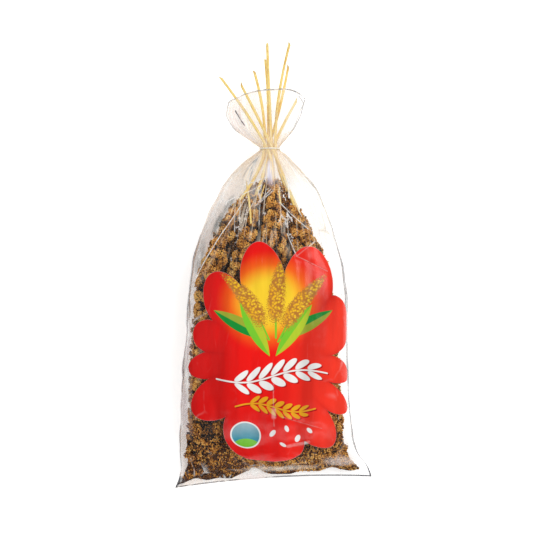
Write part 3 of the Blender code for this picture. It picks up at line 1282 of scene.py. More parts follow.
@dataclass
class LooseStraws:
    """The broken straws that lie on the millet, under the film."""

    around: int = 8
    along: int = 20
    below_film: float = 0.7
    tip: float = 0.16

    def build(self, bag: FilmBag, finish: bpy.types.Material) -> None:
        """Models the straws as one piece.

        Args:
            bag: the film bag that they lie under.
            finish: the stems' material.
        """
        made = []
        for number, straw in enumerate(LOOSE_STRAWS):
            share = np.linspace(0, 1, 9)
            x = straw.start_x + (straw.end_x - straw.start_x) * share + 0.8 * np.sin(2.6 * share + number)
            y = straw.start_y + (straw.end_y - straw.start_y) * share
            high = bag.heights(x, y)[1]
            line = np.stack([x, y, high - self.below_film - straw.radius], axis=1) * MM
            placer = partial(self.surface, line, straw.radius * MM)
            made.append(rolled_sheet(f"loose_straw_{number}", self.around, self.along, placer))
        deselect()
        for item in made:
            item.select_set(True)
        bpy.context.view_layer.objects.active = made[0]
        bpy.ops.object.join()
        joined = bpy.context.active_object
        joined.name = "loose_straws"
        with edit_mode():
            bpy.ops.mesh.fill_holes(sides=0)
            bpy.ops.mesh.normals_make_consistent(inside=False)
        settle(joined, finish, "straw")

    def surface(
        self, line: np.ndarray, radius: float, round_share: np.ndarray, along_share: np.ndarray,
    ) -> np.ndarray:
        """The surface of one straw, which is drawn in to a point at its first end.

        Args:
            line: points on its middle line, in metres.
            radius: how thick it is.
            round_share: shares of the way round.
            along_share: shares of the way along.

        Returns:
            The points.
        """
        travelled = travel(line)
        centre = smooth_path(line, travelled, along_share * travelled[-1])
        turn = 2 * np.pi * round_share
        thick = radius * np.clip(along_share / self.tip, 0.15, 1) ** 0.6
        side = np.stack([np.cos(turn), np.zeros_like(turn), np.sin(turn)], axis=1)
        return centre + side * thick[:, None]


# The film


# The bag's sections in millimetres, from the seam up to the mouth, where the frame's bag has them: X and Y
# of the left edge and of the right one, the bow of the middle along Y, the low and the high Z, and how
# square the section is, from 0 to 1.
FILM_SECTIONS = (
    (-95, -213.5, 95, -202.5, 4.5, 6.2, 7.2, 0.2),
    (-93, -208.5, 93.5, -197.5, 4.5, 5.5, 8, 0.2),
    (-90.5, -201.5, 91.5, -193, 3.5, 2.5, 16, 0.2),
    (-89, -191.5, 87, -186.5, 2, 0.5, 28, 0.3),
    (-90, -179, 81.5, -179, 0, -1.5, 38, 0.5),
    (-90, -165, 76.5, -165, 0, -1.5, 46, 0.8),
    (-89, -146, 74.5, -146, 0, -1.5, 53, 1),
    (-88, -122, 72.5, -122, 0, -1.5, 59, 1),
    (-86.5, -93.5, 71.5, -93.5, 0, -1.5, 62, 1),
    (-82.5, -60.5, 70, -60.5, 0, -1.5, 63, 1),
    (-81, -27, 70, -27, 0, -1.5, 63, 1),
    (-78, 2.5, 66.5, 2.5, 0, -1.5, 61, 1),
    (-71, 27, 59, 27, 0, -1.5, 57, 0.9),
    (-61, 52, 51, 52, 0, 1.5, 51, 0.7),
    (-49, 74.5, 41.5, 74.5, 0, 6.5, 46, 0.5),
    (-35.5, 92.5, 25.5, 92.5, 0, 12, 41, 0.3),
    (-22.5, 104, 14.5, 104, 0, 15.5, 37, 0),
    (-12.3, 110.7, 5.5, 110.7, 0, 17.7, 34.3, 0),
    (-12.3, 113.3, 5.5, 113.3, 0, 17.7, 34.3, 0),
    (-22.5, 120, 10.5, 120, 0, 16, 36.5, 0),
    (-37.5, 129.5, 18.5, 129.5, 1, 13, 40, 0),
    (-45.5, 142.5, 25.5, 143.5, 4, 10, 43, 0),
    (-42.5, 156.5, 29.5, 161, 10, 8, 45, 0),
)
NECK_Y = 112.0
SEAM_Z = 6.6


@dataclass(frozen=True)
class CreaseAndGlint(Stretch):
    """A sharp fold in the film; the wide ones are painted highlights, glints on folds."""

    strength: float
    half_width: float = 0.1


# Entries with a half width of 0.6 mm or more are painted highlights, glints on folds; on the rest the white
# is partly real whitening and partly painted highlight.
FRONT_CREASES_AND_GLINTS = (
    CreaseAndGlint(-27, 63, -79, -31, 1),
    CreaseAndGlint(-11, 77, -45, 60, 0.9),
    CreaseAndGlint(-2, 72, -14, 60, 0.8),
    CreaseAndGlint(6, 60, 33, 36, 0.8),
    CreaseAndGlint(22, 9, 13, 31, 0.7),
    CreaseAndGlint(22, 9, 50, -4, 0.7),
    CreaseAndGlint(22, 9, 38, 23, 0.6),
    CreaseAndGlint(-31, 62, -32, 37, 0.6),
    CreaseAndGlint(-4, 100, -30, 40, 0.7),
    CreaseAndGlint(2, 98, 26, 48, 0.7),
    CreaseAndGlint(0, -150, 1, -108, 0.6),
    CreaseAndGlint(46, -152, 8, -140, 0.5),
    CreaseAndGlint(-27, 78, -8, 84, 0.8),
    CreaseAndGlint(0, 73, -18, 55, 0.7),
    CreaseAndGlint(12, 84, 15, 66, 0.9, 0.6),
    CreaseAndGlint(-36, 56, -36, 32, 0.5),
    CreaseAndGlint(-12, 64, -14, 38, 0.5),
    CreaseAndGlint(0.5, -140, 1, -133, 0.8, 1),
    CreaseAndGlint(14, -170, 33, -165, 0.6, 0.8),
    CreaseAndGlint(-17, -199, -20, -194, 0.6, 2),
)


@dataclass(frozen=True)
class HazeAndShade:
    """A soft patch painted on the film, as seen from above, in millimetres: a whitish haze, or painted shade
    and shadow.
    """

    x: float
    y: float
    half_x: float
    half_y: float
    colour: Colour
    share: float


# The dark grey patches are painted shadow and shade: the millet's shadow through the film along its left
# side, the shade left of the stems and at the lower left corner. The pink on the collar's left and the peach
# on the left shoulder are painted shade of the bag's left side; the other patches are whitish tints.
HAZE_AND_SHADE = (
    HazeAndShade(-34, 140, 34, 34, (0.93, 0.78, 0.76), 0.3),
    HazeAndShade(14, 140, 26, 34, (1, 0.93, 0.84), 0.14),
    HazeAndShade(-22, 90, 13, 20, (0.26, 0.31, 0.35), 0.3),
    HazeAndShade(-4, 88, 14, 17, (0.8, 0.78, 0.92), 0.46),
    HazeAndShade(-19, 70, 11, 11, (0.7, 0.74, 0.8), 0.22),
    HazeAndShade(13, 76, 5, 8, (0.95, 0.93, 1), 0.24),
    HazeAndShade(-41, 59, 9, 12, (0.1, 0.13, 0.13), 0.34),
    HazeAndShade(-52, 40, 9, 16, (0.1, 0.13, 0.13), 0.38),
    HazeAndShade(-68, 10, 9, 24, (0.12, 0.14, 0.14), 0.26),
    HazeAndShade(-62, 66, 24, 44, (1, 0.8, 0.64), 0.22),
    HazeAndShade(44, 50, 26, 50, (1, 0.9, 0.7), 0.2),
    HazeAndShade(66, -186, 24, 14, (1, 0.86, 0.8), 0.28),
    HazeAndShade(4, -194, 50, 9, (0.95, 0.84, 0.72), 0.3),
    HazeAndShade(-90, -207, 9, 9, (0.08, 0.08, 0.09), 0.5),
    HazeAndShade(-20, -202, 16, 7, (1, 0.9, 0.88), 0.5),
)


@dataclass(frozen=True)
class FilmFinish:
    """Clear packing film: all but invisible face on, grey at its edges, whitish at folds, printed in front.
    Its grey outline is partly painted shade where it turns edge-on, the tint on its left and its dark
    patches are painted shade and shadow, and the white of its folds is partly painted highlight.
    """

    clear: Colour = (0.62, 0.62, 0.64)
    outline: Colour = (0.17, 0.17, 0.19)
    left_shade_tint: Colour = (0.8, 0.57, 0.4)
    bunched: Colour = (0.86, 0.68, 0.5)
    fold: Colour = (1.0, 0.86, 0.7)
    slack: Colour = (0.55, 0.44, 0.46)
    milky_and_highlight: Colour = (1.0, 0.99, 0.97)
    mark: Colour = (0.16, 0.16, 0.18)
    roughness: float = 0.12
    ink_roughness: float = 0.26
    specular: float = 0.28
    face_on: float = 0.01
    edge_on: float = 0.66
    fold_share: float = 0.1
    hair_share: float = 0.5
    cream_share: float = 0.3
    bunched_share: float = 0.3
    slack_share: float = 0.42
    cut_share: float = 0.82
    ink_share: float = 0.97
    lets_through: float = 0.85

    def material(self, bag: FilmBag) -> bpy.types.Material:
        """Makes the material.

        Args:
            bag: the film bag, which knows where its print and its creases lie.

        Returns:
            The material, which reads the film's UV map in millimetres.
        """
        finish, sketch, shader = new_material("clear_film")
        sheet = sketch.sheet()
        split = sketch.parts(sheet)
        film = Spot(split[0].scaled(-bag.girth, bag.girth / 2), split[1].scaled(bag.run, -bag.panel_run))
        on_panel = {"Across": film.x, "Along": film.y}
        panel = sketch.node("Group", on_panel, node_tree=PrintedPanel().group())
        mark = film.line(bag.on_film(-36.0, 146.5), bag.on_film(-27.6, 133.0), 0.85, 0.5)
        inked = panel["Cover"].most(mark)

        flat = sketch.flat(film.x, film.y)
        folds = sketch.node("Group", {"Vector": flat}, node_tree=crease_group(bag))
        crease_and_glint, ridge, hair = folds["CreaseAndGlint"], sketch.mark("ridge"), folds["Hair"] * self.hair_share
        # The white on creases, fold ridges and thin folds is partly the film's real whitening and partly
        # painted highlight.
        white = crease_and_glint.most(ridge).most(hair)

        tints = self.tints(bag, film)
        edge = self.cut_edge(bag, film.y)
        # The dark outline at the side folds is painted shade where the film turns edge-on; at the cut mouth
        # and the welded seam it is partly the film's real edge.
        base = sketch.blend(abs(film.x).remap(72.0, 84.0).most(edge), self.clear, self.outline)
        for share, colour in tints:
            base = sketch.blend(share.remap(0.0, 0.12), base, colour)
        base = sketch.blend(white.remap(0.0, 0.3), base, self.milky_and_highlight)
        base = sketch.blend(hair.remap(0.0, 0.1), base, self.fold)
        hang = sketch.vector_maths("MULTIPLY", sheet, (bag.girth * 0.05, bag.run * 0.009, 1))
        shade = sketch.grey(sketch.noise(hang, 1.0, 3, 0.45).remap(0.36, 0.6, 0.76, 1.03))
        print_shade = sketch.blend(1.0, panel["Colour"], shade, "MULTIPLY")
        base = sketch.blend(inked, base, sketch.blend(mark, print_shade, self.mark))

        facing = sketch.node("LayerWeight", {"Blend": 0.5})["Facing"]
        veil = sketch.mix_value(facing.remap(0.64, 0.86, smooth=True), self.face_on, self.edge_on)
        for share, _ in tints:
            veil = veil + share
        veil = veil.most(edge * self.cut_share) + ridge * self.fold_share
        veil = sketch.maths("MAXIMUM", veil.most(hair), crease_and_glint * 0.8, clamp=True)
        path = sketch.node("LightPath")
        passing = path["Is Shadow Ray"].most(path["Is Diffuse Ray"])
        veil = veil * passing.scaled(-self.lets_through, 1.0)
        shader.wire({
            "Base Color": sketch.blend(crease_and_glint * 0.32, base, self.milky_and_highlight),
            "Alpha": sketch.mix_value(inked, veil, self.ink_share),
            "Roughness": sketch.mix_value(inked, self.roughness, self.ink_roughness),
            "Specular IOR Level": self.specular,
            "Normal": sketch.bump(folds["Height"], 0.5, 0.0012),
        })
        return finish

    def tints(self, bag: FilmBag, film: Spot) -> list[tuple[Signal, Colour]]:
        """Where the film isn't quite clear.

        Args:
            bag: the film bag.
            film: millimetres round and along the film.

        Returns:
            How much each tint covers, with its colour: a pale warm tint painted as shade at the back on the
            left, the whitish bunch at the neck, grey streaks painted as shade in the folds of the slack film
            at the lower left, and the patches of haze and of painted shade and shadow.
        """
        sketch = film.x.sketch
        place = sketch.place()
        patchy = sketch.toned(place, 13.0, 55.0, 0.45, 1.0)
        # The warm tint on the left is painted shade of the bag's left side.
        left = sketch.parts(place)[0].remap(0.03, -0.05, 0.04, 1, smooth=True)
        left_shade_tint = abs(film.x).remap(92.0, 104.0) * left * self.cream_share * patchy
        from_neck = film.y + (bag.panel_run - bag.neck_run)
        below = from_neck.remap(-44.0, -6.0, smooth=True)
        above = from_neck.remap(26.0, 2.0, smooth=True)
        bunched = below * above * self.bunched_share * patchy
        streaked = sketch.noise(sketch.flat(film.x * 0.3, film.y * 0.02), 1.0, 3).remap(0.4, 0.6, 0.25, 1)
        # The grey streaks down the slack film at the lower left are painted shade in its folds.
        column = abs(film.x + 84.0).remap(9.0, 17.0, 1, 0)
        row = abs(film.y + 22.0).remap(30.0, 66.0, 1, 0)
        slack = column * row * self.slack_share * streaked
        found = [(left_shade_tint, self.left_shade_tint), (bunched, self.bunched), (slack, self.slack)]
        uneven = streaked.scaled(0.5, 0.5)
        for film_patch in HAZE_AND_SHADE:
            middle = bag.on_film(film_patch.x, film_patch.y)
            off_x = film.x.scaled(1 / film_patch.half_x, -middle.x / film_patch.half_x)
            off_y = film.y.scaled(1 / film_patch.half_y, -middle.y / film_patch.half_y)
            share = Spot(off_x, off_y).reach().remap(0.25, 1.0, film_patch.share, 0, smooth=True)
            found.append((share * uneven, film_patch.colour))
        return found

    def cut_edge(self, bag: FilmBag, along: Signal) -> Signal:
        """Finds the film's edges.

        Args:
            bag: the film bag.
            along: millimetres along the film.

        Returns:
            A mask of its cut edge at the mouth, its welded edge at the seam and its side folds.
        """
        top, neck = bag.run - bag.panel_run, bag.neck_run - bag.panel_run
        mouth = along.remap(top - 1.7, top - 1.1, 0, 0.6)
        seam = along.remap(1.7 - bag.panel_run, 1.1 - bag.panel_run, 0, 0.6)
        wide = along.remap(neck, neck + 12, 1.2, 2.2)
        pressed = (abs(along.sketch.mark("aside")) / wide).remap(0.6, 1.7, 0.9, 0)
        return mouth.most(seam).most(pressed)


def crease_group(bag: FilmBag) -> bpy.types.NodeTree:
    """The film's folds: a broken net of crinkles drawn out along the bag, and its named creases.

    Args:
        bag: the film bag.

    Returns:
        The node group, which reads millimetres on the film. Its first output is where the film turns white:
        partly the real whitening of its folds, partly painted highlight on them. Hair is where thin folds
        fan out from the neck.
    """
    outputs = {"CreaseAndGlint": NUMBER, "Hair": NUMBER, "Height": NUMBER}
    sketch, start, end = new_group("film_folds", {"Vector": VECTOR}, outputs)
    flat = start["Vector"]
    split = sketch.parts(flat)
    film = Spot(split[0], split[1])
    drawn = sketch.vector_maths("MULTIPLY", flat, (1.0, 0.36, 1))
    bent = sketch.node("TexNoise", {"Vector": drawn, "Scale": 0.03, "Detail": 2})["Color"]
    warped = sketch.vector_maths("MULTIPLY_ADD", bent, (22, 22, 0), drawn)
    net = sketch.node("TexVoronoi", {"Vector": warped, "Scale": 0.05}, feature="DISTANCE_TO_EDGE")
    patches = sketch.noise(flat, 0.045, 3)
    room = abs(film.x).remap(52.0, 74.0, 0.12, 1).most(abs(film.y).remap(95.0, 120.0))
    crinkle = net["Distance"].remap(0.0, 0.035, 1, 0) * patches.remap(0.52, 0.64) * room
    lines = []
    for fold in FRONT_CREASES_AND_GLINTS:
        ends = bag.on_film(fold.start_x, fold.start_y), bag.on_film(fold.end_x, fold.end_y)
        lines.append(film.line(*ends, fold.half_width, 0.6 + 1.2 * fold.half_width) * fold.strength)
    named = lines[0].most(0.0)
    for line in lines[1:]:
        named = named.most(line)
    uneven = named * sketch.noise(flat, 0.2, 2).remap(0.3, 0.6, 0.35, 1)
    from_neck = film.y + (bag.panel_run - bag.neck_run)
    fan = sketch.noise(sketch.flat(film.x * 0.1, from_neck * 0.009), 1.0, 2)
    thin = abs(fan - 0.5).remap(0.005, 0.05, 1, 0) * patches.remap(0.4, 0.62, 0.1, 1)
    near_middle = abs(film.x).remap(34.0, 58.0, 1, 0.08)
    low, high = from_neck.remap(-128.0, -50.0, smooth=True), from_neck.remap(0.0, 12.0, 1, 0.3)
    end.wire({
        "CreaseAndGlint": (crinkle * 0.5).most(uneven),
        "Hair": thin * near_middle * low * high,
        "Height": crinkle.scaled(0.5, sketch.noise(warped, 0.07, 3, 0.5) * 1.6) + named,
    })
    return sketch.tree


@dataclass(frozen=True)
class Grain:
    """One printed grain: its middle, its lean and its size."""

    x: float
    y: float
    lean_deg: float
    size: float


FALLING_GRAINS = (
    Grain(0, -74, -34, 0.5),
    Grain(13, -69, 18, 0.42),
    Grain(9, -86, 52, 0.42),
    Grain(23, -79, -22, 0.5),
    Grain(34, -71, 40, 0.42),
)


@dataclass
class PrintedPanel:
    """The print on the film's front: a red blossom with a low sun behind three seed heads.

    Everything is in millimetres from the panel's middle, on the flat film.
    """

    middle: tuple[float, float] = (6.0, -4.0)
    reach: tuple[float, float] = (78.0, 114.0)
    petals: int = 11
    petal_turn: float = 1.88
    petal_depth: float = 0.26
    squareness: float = 2.8
    grain: tuple[float, float] = (4.4, 8.0)
    edge: float = 0.45
    deep_red: Colour = (0.5, 0.002, 0.003)
    red: Colour = (0.93, 0.006, 0.004)
    painted_light_red: Colour = (0.97, 0.06, 0.028)
    yellow: Colour = (1.0, 0.66, 0.03)
    orange: Colour = (1.0, 0.2, 0.01)
    gold: Colour = (0.9, 0.42, 0.01)
    white: Colour = (0.95, 0.95, 0.93)
    leaf: Colour = (0.01, 0.3, 0.04)
    bright_leaf: Colour = (0.2, 0.62, 0.03)
    ear: Colour = (0.5, 0.2, 0.03)
    teal: Colour = (0.02, 0.3, 0.42)
    leaf_length: float = 29.0
    leaf_width: float = 6.5

    def group(self) -> bpy.types.NodeTree:
        """Draws the panel.

        Returns:
            The node group: its Colour, and Cover, which is 1 where there is ink.
        """
        outputs = {"Colour": TINT, "Cover": NUMBER}
        self.sketch, start, end = new_group("printed_panel", {"Across": NUMBER, "Along": NUMBER}, outputs)
        self.spot = Spot(start["Across"], start["Along"]).moved(self.middle)
        outside = self.blossom()
        self.sunrise()
        self.heads()
        self.spray(self.spot.moved((0.0, -18.0), 3.0), 50.0, 6.9, 4.5, self.white)
        self.spray(self.spot.moved((3.0, -48.0), -2.0), 36.0, 4.6, -3.5, self.gold)
        self.grains()
        self.seal()
        end.wire({"Colour": self.colour, "Cover": self.within(outside)})
        return self.sketch.tree

    def paint(self, share: Signal, shade: Feed) -> None:
        """Lays a colour over what is drawn so far."""
        self.colour = self.sketch.blend(share, self.colour, shade)

    def within(self, distance: Signal, grow: float = 0) -> Signal:
        """A mask that is 1 where a distance is under grow, with a crisp edge."""
        return distance.remap(grow - self.edge / 2, grow + self.edge / 2, 1, 0)

    def blossom(self) -> Signal:
        """Draws a ring of uneven rounded red petals on a body with soft corners.

        The red is painted darker on the left as shade and lighter on the right as light, and darker where
        two petals meet.

        Returns:
            How far outside the blossom a point is.
        """
        x, y = self.spot.x, self.spot.y
        turn = y.turn_from(x)
        sway, twist = turn.scaled(2.0, 0.9).sine(), turn.scaled(3.0, 2.2).sine()
        uneven = sway.scaled(0.16, twist.scaled(0.1, turn))
        crest = abs(uneven.scaled(self.petals / 2, self.petal_turn).sine())
        depth = twist.scaled(0.06, self.petal_depth)
        rim = (crest ** 0.75 - 1.0).scaled(depth, sway.scaled(0.025, 0.975))
        across, along = ((abs(way) / reach) ** self.squareness for way, reach in zip((x, y), self.reach))
        share = (across + along) ** (1 / self.squareness)
        vein = (1.0 - crest) ** 3.0 * share.remap(0.45, 0.9, smooth=True)
        self.colour = self.red
        # Painted shade makes the red darker on the left, and painted light makes it lighter on the right.
        self.paint(x.remap(-74.0, -20.0, 0.6, 0), self.deep_red)
        self.paint(x.remap(0.0, 74.0, 0, 0.85), self.painted_light_red)
        self.paint(vein * 0.75, self.deep_red)
        return (share - rim) * self.reach[0]

    def sunrise(self) -> None:
        """Draws a glowing sun, low behind the heads."""
        sun = self.spot.moved((-4.0, 52.0))
        reach = Spot(sun.x, sun.y * 1.05).reach()
        self.paint(reach.remap(52.0, 26.0, smooth=True), self.orange)
        self.paint(reach.remap(38.0, 18.0, smooth=True), self.yellow)

    def heads(self) -> None:
        """Draws three seed heads that fan out over four long leaves."""
        for centre, tilt, shade in (
            ((-30.0, 30.0), 62.0, self.leaf),
            ((30.0, 30.0), -62.0, self.leaf),
            ((-17.0, 26.0), 30.0, self.bright_leaf),
            ((19.0, 25.0), -34.0, self.bright_leaf),
        ):
            self.long_leaf(self.spot.moved(centre, tilt), shade)
        for centre, tilt, nod in (
            ((-23.0, 56.0), 26.0, -1.0),
            ((24.0, 54.0), -26.0, 1.0),
            ((1.0, 62.0), 2.0, 0.7),
        ):
            self.seed_head(self.spot.moved(centre, tilt), nod)

    def long_leaf(self, spot: Spot, shade: Colour) -> None:
        """Draws a pointed leaf that stands along its own Y, lighter on one side of its rib.

        Args:
            spot: the point as the leaf measures it.
            shade: the leaf's darker colour.
        """
        share = spot.y / self.leaf_length
        width = (1.0 - share * share) * self.leaf_width
        body = self.sketch.blend(spot.x.remap(-0.3, 0.3, 0, 0.35), shade, self.yellow)
        self.paint(self.within(abs(spot.x) - width), body)

    def seed_head(self, spot: Spot, nod: float) -> None:
        """Draws a slender ear of fine seed that nods to one side, on its stalk.

        Args:
            spot: the point as the ear measures it.
            nod: which way, and how far, its tip nods.
        """
        lift = (spot.y + 24.0).most(0.0)
        bent = (lift * lift).scaled(-0.0045 * nod, spot.x)
        self.paint(self.within(Spot(spot.y + 32.0, bent).pill(12.0, 0.9)), self.bright_leaf)
        body = Spot(bent * spot.y.scaled(0.01, 1.0), spot.y).oval(6.4, 25.0)
        flat = self.sketch.flat(bent, spot.y)
        outside = body + self.sketch.noise(flat, 1.0, 2).remap(0.35, 0.65, -1.5, 1.5)
        self.paint(self.within(outside, 1.0), self.ear)
        cells = self.sketch.node("TexVoronoi", {"Vector": flat, "Scale": 0.42, "Randomness": 0.9})
        shade = self.sketch.blend(bent.remap(-6.0, 6.0, 0.1, 1), self.gold, self.yellow)
        self.paint(cells["Distance"].remap(0.62, 0.3) * self.within(outside, 0.2), shade)

    def spray(self, spot: Spot, half: float, size: float, bow: float, shade: Colour) -> None:
        """Draws a lying stalk, gently waved, with pairs of leaning grains, over its own dark shadow.

        One pair of grains is repeated along the stalk, smaller to its ends.

        Args:
            spot: the point, measured along the stalk and off it.
            half: half the stalk's length.
            size: half a grain's length, about.
            bow: how far the stalk waves.
            shade: the spray's colour.
        """
        pitch = size * 1.6
        for shift, tone in ((1.1, self.deep_red), (0.0, shade)):
            own = spot.moved((shift, -shift))
            share = own.x / half
            off = abs((share * math.pi).sine().scaled(-bow, own.y))
            raised = off / (share * share).scaled(-0.55, 1.0).most(0.3)
            leaned = raised.scaled(-0.8, own.x)
            cell = leaned.wrapped(pitch / 2, -pitch / 2)
            grain = Spot(cell, raised - size).oval(size * 0.62, size * 0.86)
            grain = grain.most(abs(leaned - cell) - (half - pitch))
            self.paint(self.within(grain.least(Spot(own.x, off).pill(half, 0.75))), tone)

    def grains(self) -> None:
        """Draws the loose white grains that fall below the sprays."""
        for grain in FALLING_GRAINS:
            own = self.spot.moved((grain.x, grain.y), grain.lean_deg)
            self.paint(self.within(own.oval(*(side * grain.size for side in self.grain))), self.white)

    def seal(self) -> None:
        """Draws a small round seal: a green hill under a teal sky, ringed in white."""
        seal = self.spot.moved((-25.0, -76.0))
        reach = seal.reach()
        self.paint(self.within(reach, 14.2), self.white)
        sky = self.sketch.blend(seal.y.remap(-4.0, 12.0, 0, 0.35), self.teal, self.white)
        self.paint(self.within(reach, 12.8), sky)
        hill = Spot(seal.x, seal.y + 21.0).reach()
        self.paint(self.within(hill, 17.5) * self.within(reach, 12.8), self.bright_leaf)


@dataclass
class FilmBag:
    """The clear bag: one tube of film, sealed at the bottom, drawn in at the neck, open at its collar."""

    around: int = 156
    along: int = 168
    wall: float = 0.25 * MM
    girth: float = 380.0
    panel_y: float = -80.0
    rings_each: int = 720
    notch: float = 6.5
    eye_height: float = 1430.0
    smoothing: int = 7
    seed: int = 11
    foot_below: float = -190 * MM

    def __post_init__(self) -> None:
        """Works out the film's surface, and the lengths along its front."""
        self.plain = self.smooth_surface()
        self.surface = self.crumpled()
        front = self.surface[:, self.around // 2]
        self.travelled = travel(front)
        self.run = float(self.travelled[-1])
        self.panel_run = float(np.interp(self.panel_y, front[:, 1], self.travelled))
        self.neck_run = float(np.interp(NECK_Y, front[:, 1], self.travelled))
        rows, columns = self.surface.shape[:2]
        first = (np.arange(rows - 1)[:, None] * columns + np.arange(columns - 1)).ravel()
        quads = np.stack([first, first + 1, first + columns + 1, first + columns], axis=1)
        self.tree = BVHTree.FromPolygons(self.surface.reshape(-1, 3).tolist(), quads.tolist())

    def smooth_surface(self) -> np.ndarray:
        """The film without its folds.

        Returns:
            Its points in millimetres, from the seam up, each row from the back round to the back.
        """
        table = np.array(FILM_SECTIONS)
        middles = np.stack([(table[:, 1] + table[:, 3]) / 2 + table[:, 4], table[:, 6]], axis=1)
        travelled = travel(middles)
        stations = np.linspace(0, travelled[-1], self.along + 1)
        rows = np.stack([np.interp(stations, travelled, column) for column in table.T], axis=1)
        return self.smoothed(np.stack([self.ring(row) for row in rows]))

    def ring(self, section: np.ndarray) -> np.ndarray:
        """One section's points, evenly spaced round it.

        Args:
            section: its measures, as a row of FILM_SECTIONS.

        Returns:
            The points, from the middle of the back, past the right edge and the front.
        """
        left_x, left_y, right_x, right_y, bow, low, high, square = section
        turn = np.linspace(-np.pi / 2, 1.5 * np.pi, self.rings_each)
        upper = np.sin(turn) > 0
        power = np.where(upper, 2 / (2 + square), 2 / (2 + 3 * square))
        across = np.sign(np.cos(turn)) * np.abs(np.cos(turn)) ** power
        lift = np.sign(np.sin(turn)) * np.abs(np.sin(turn)) ** power
        widest = low + (high - low) * (0.5 - 0.05 * square)
        z = np.maximum(widest + lift * np.where(upper, high - widest, widest - low), 0)
        x = (left_x + right_x) / 2 + across * (right_x - left_x) / 2
        bowed = 1 - np.abs(across) ** np.where((across > 0) & (left_y > NECK_Y), 4, 2)
        y = left_y + (right_y - left_y) * (across + 1) / 2 + bow * bowed
        at_mouth = np.clip((y - 148) / 10, 0, 1)
        y = y - self.notch * at_mouth * np.exp(-(((turn - 0.3) / 0.22) ** 2))
        y = y * (1 - at_mouth * (z - (low + high) / 2) / self.eye_height)
        points = np.stack([x, y, z], axis=1)
        travelled = travel(points)
        even = np.linspace(0, travelled[-1], self.around + 1)
        return np.stack([np.interp(even, travelled, column) for column in points.T], axis=1)

    def smoothed(self, surface: np.ndarray) -> np.ndarray:
        """Rounds the film off between its sections, except at the neck, the seam and the mouth.

        Args:
            surface: the film's points.

        Returns:
            The points rounded off.
        """
        hold = np.clip((np.abs(surface[:, :, 1:2] - NECK_Y) - 3) / 8, 0, 1)
        hold[:3] = 0
        hold[-2:] = 0
        for _ in range(self.smoothing):
            spread = surface.copy()
            spread[1:-1] = (surface[:-2] + 2 * surface[1:-1] + surface[2:]) / 4
            surface = surface + (spread - surface) * hold
        return surface

    def crumpled(self) -> np.ndarray:
        """Folds the film: gathers that fan from the neck, soft crumples and the named creases.

        Returns:
            The film's points with its folds.
        """
        plain = self.plain
        lift = np.clip(self.gathers() + self.crumples() + self.creases(), -0.95, 3.2)
        at_neck = np.clip(1 - np.abs(plain[:, :, 1] - NECK_Y) / 5.0, 0, 1)
        lift = lift * (1 - at_neck) - at_neck * 0.25 * (1 + np.sin(np.arange(self.around + 1) * 1.9))
        clear_of_floor = np.clip((plain[:, :, 2] - 0.4) / 4.0, 0, 1)
        above_seam = np.clip((np.arange(self.along + 1) - 1) / 6, 0, 1)[:, None]
        lift = lift * clear_of_floor * above_seam
        smooth = lift
        for _ in range(4):
            smooth = (np.roll(smooth, 1, axis=1) + 2 * smooth + np.roll(smooth, -1, axis=1)) / 4
        self.ridges = np.clip((lift - smooth - 0.12) * 2.2, 0, 0.6)
        ways = np.cross(np.gradient(plain, axis=1), np.gradient(plain, axis=0))
        normals = ways / np.maximum(np.linalg.norm(ways, axis=2, keepdims=True), 1e-9)
        folded = plain + normals * lift[:, :, None]
        folded[:, -1] = folded[:, 0]
        folded[:, :, 2] = np.maximum(folded[:, :, 2], 0)
        return folded

    def gathers(self) -> np.ndarray:
        """Pleats that fan from the neck and die away down the bag and up the collar.

        Returns:
            How far each point is lifted.
        """
        share = np.linspace(0, 1, self.around + 1)[None, :]
        y = self.plain[:, :, 1]
        away = np.abs(y - NECK_Y)
        lift = np.zeros_like(y)
        draw = random.Random(self.seed)
        for count, height in ((9, 1.0), (15, 0.75), (26, 0.45)):
            start, drift = draw.random(), draw.uniform(0.003, 0.008)
            wander = 0.35 * np.sin(y / draw.uniform(17, 29) + draw.uniform(0, 6))
            phase = count * share + start + wander * drift * 40
            wave = np.abs(((phase % 1) * 2) - 1)
            lift += height * (1 - 2 * wave**0.75)
        below = np.interp(away, [0, 8, 22, 60, 110, 190], [0, 0.7, 1.0, 0.6, 0.25, 0.0])
        above = np.interp(away, [0, 6, 20, 50], [0, 0.8, 1.3, 1.5])
        return lift * np.where(y > NECK_Y, above, below)

    def crumples(self) -> np.ndarray:
        """Soft crumples all over, stronger down the slack left side and along the bottom.

        Returns:
            How far each point is lifted.
        """
        lift = np.empty(self.plain.shape[:2])
        for at in np.ndindex(*lift.shape):
            x, y, z = self.plain[at]
            facet = noise.noise(Vector((x, y, z)) * 0.034)
            small = noise.noise(Vector((x, y, z)) * 0.085 + Vector((7, 3, 1)))
            hang = noise.noise(Vector((x * 0.075, y * 0.016, z * 0.075)))
            ridges = (1 - 2 * abs(found) for found in (facet, small, hang))
            lift[at] = sum(share * ridge for share, ridge in zip((0.75, 0.35, 0.7), ridges))
        x, y = self.plain[:, :, 0], self.plain[:, :, 1]
        left = np.clip((-x - 62) / 16, 0, 1) * np.clip(1 - np.abs(y + 90) / 70, 0, 1)
        foot = np.clip((-y - 165) / 25, 0, 1)
        return (lift - 0.55) * (0.8 + 1.1 * left + 0.5 * foot)

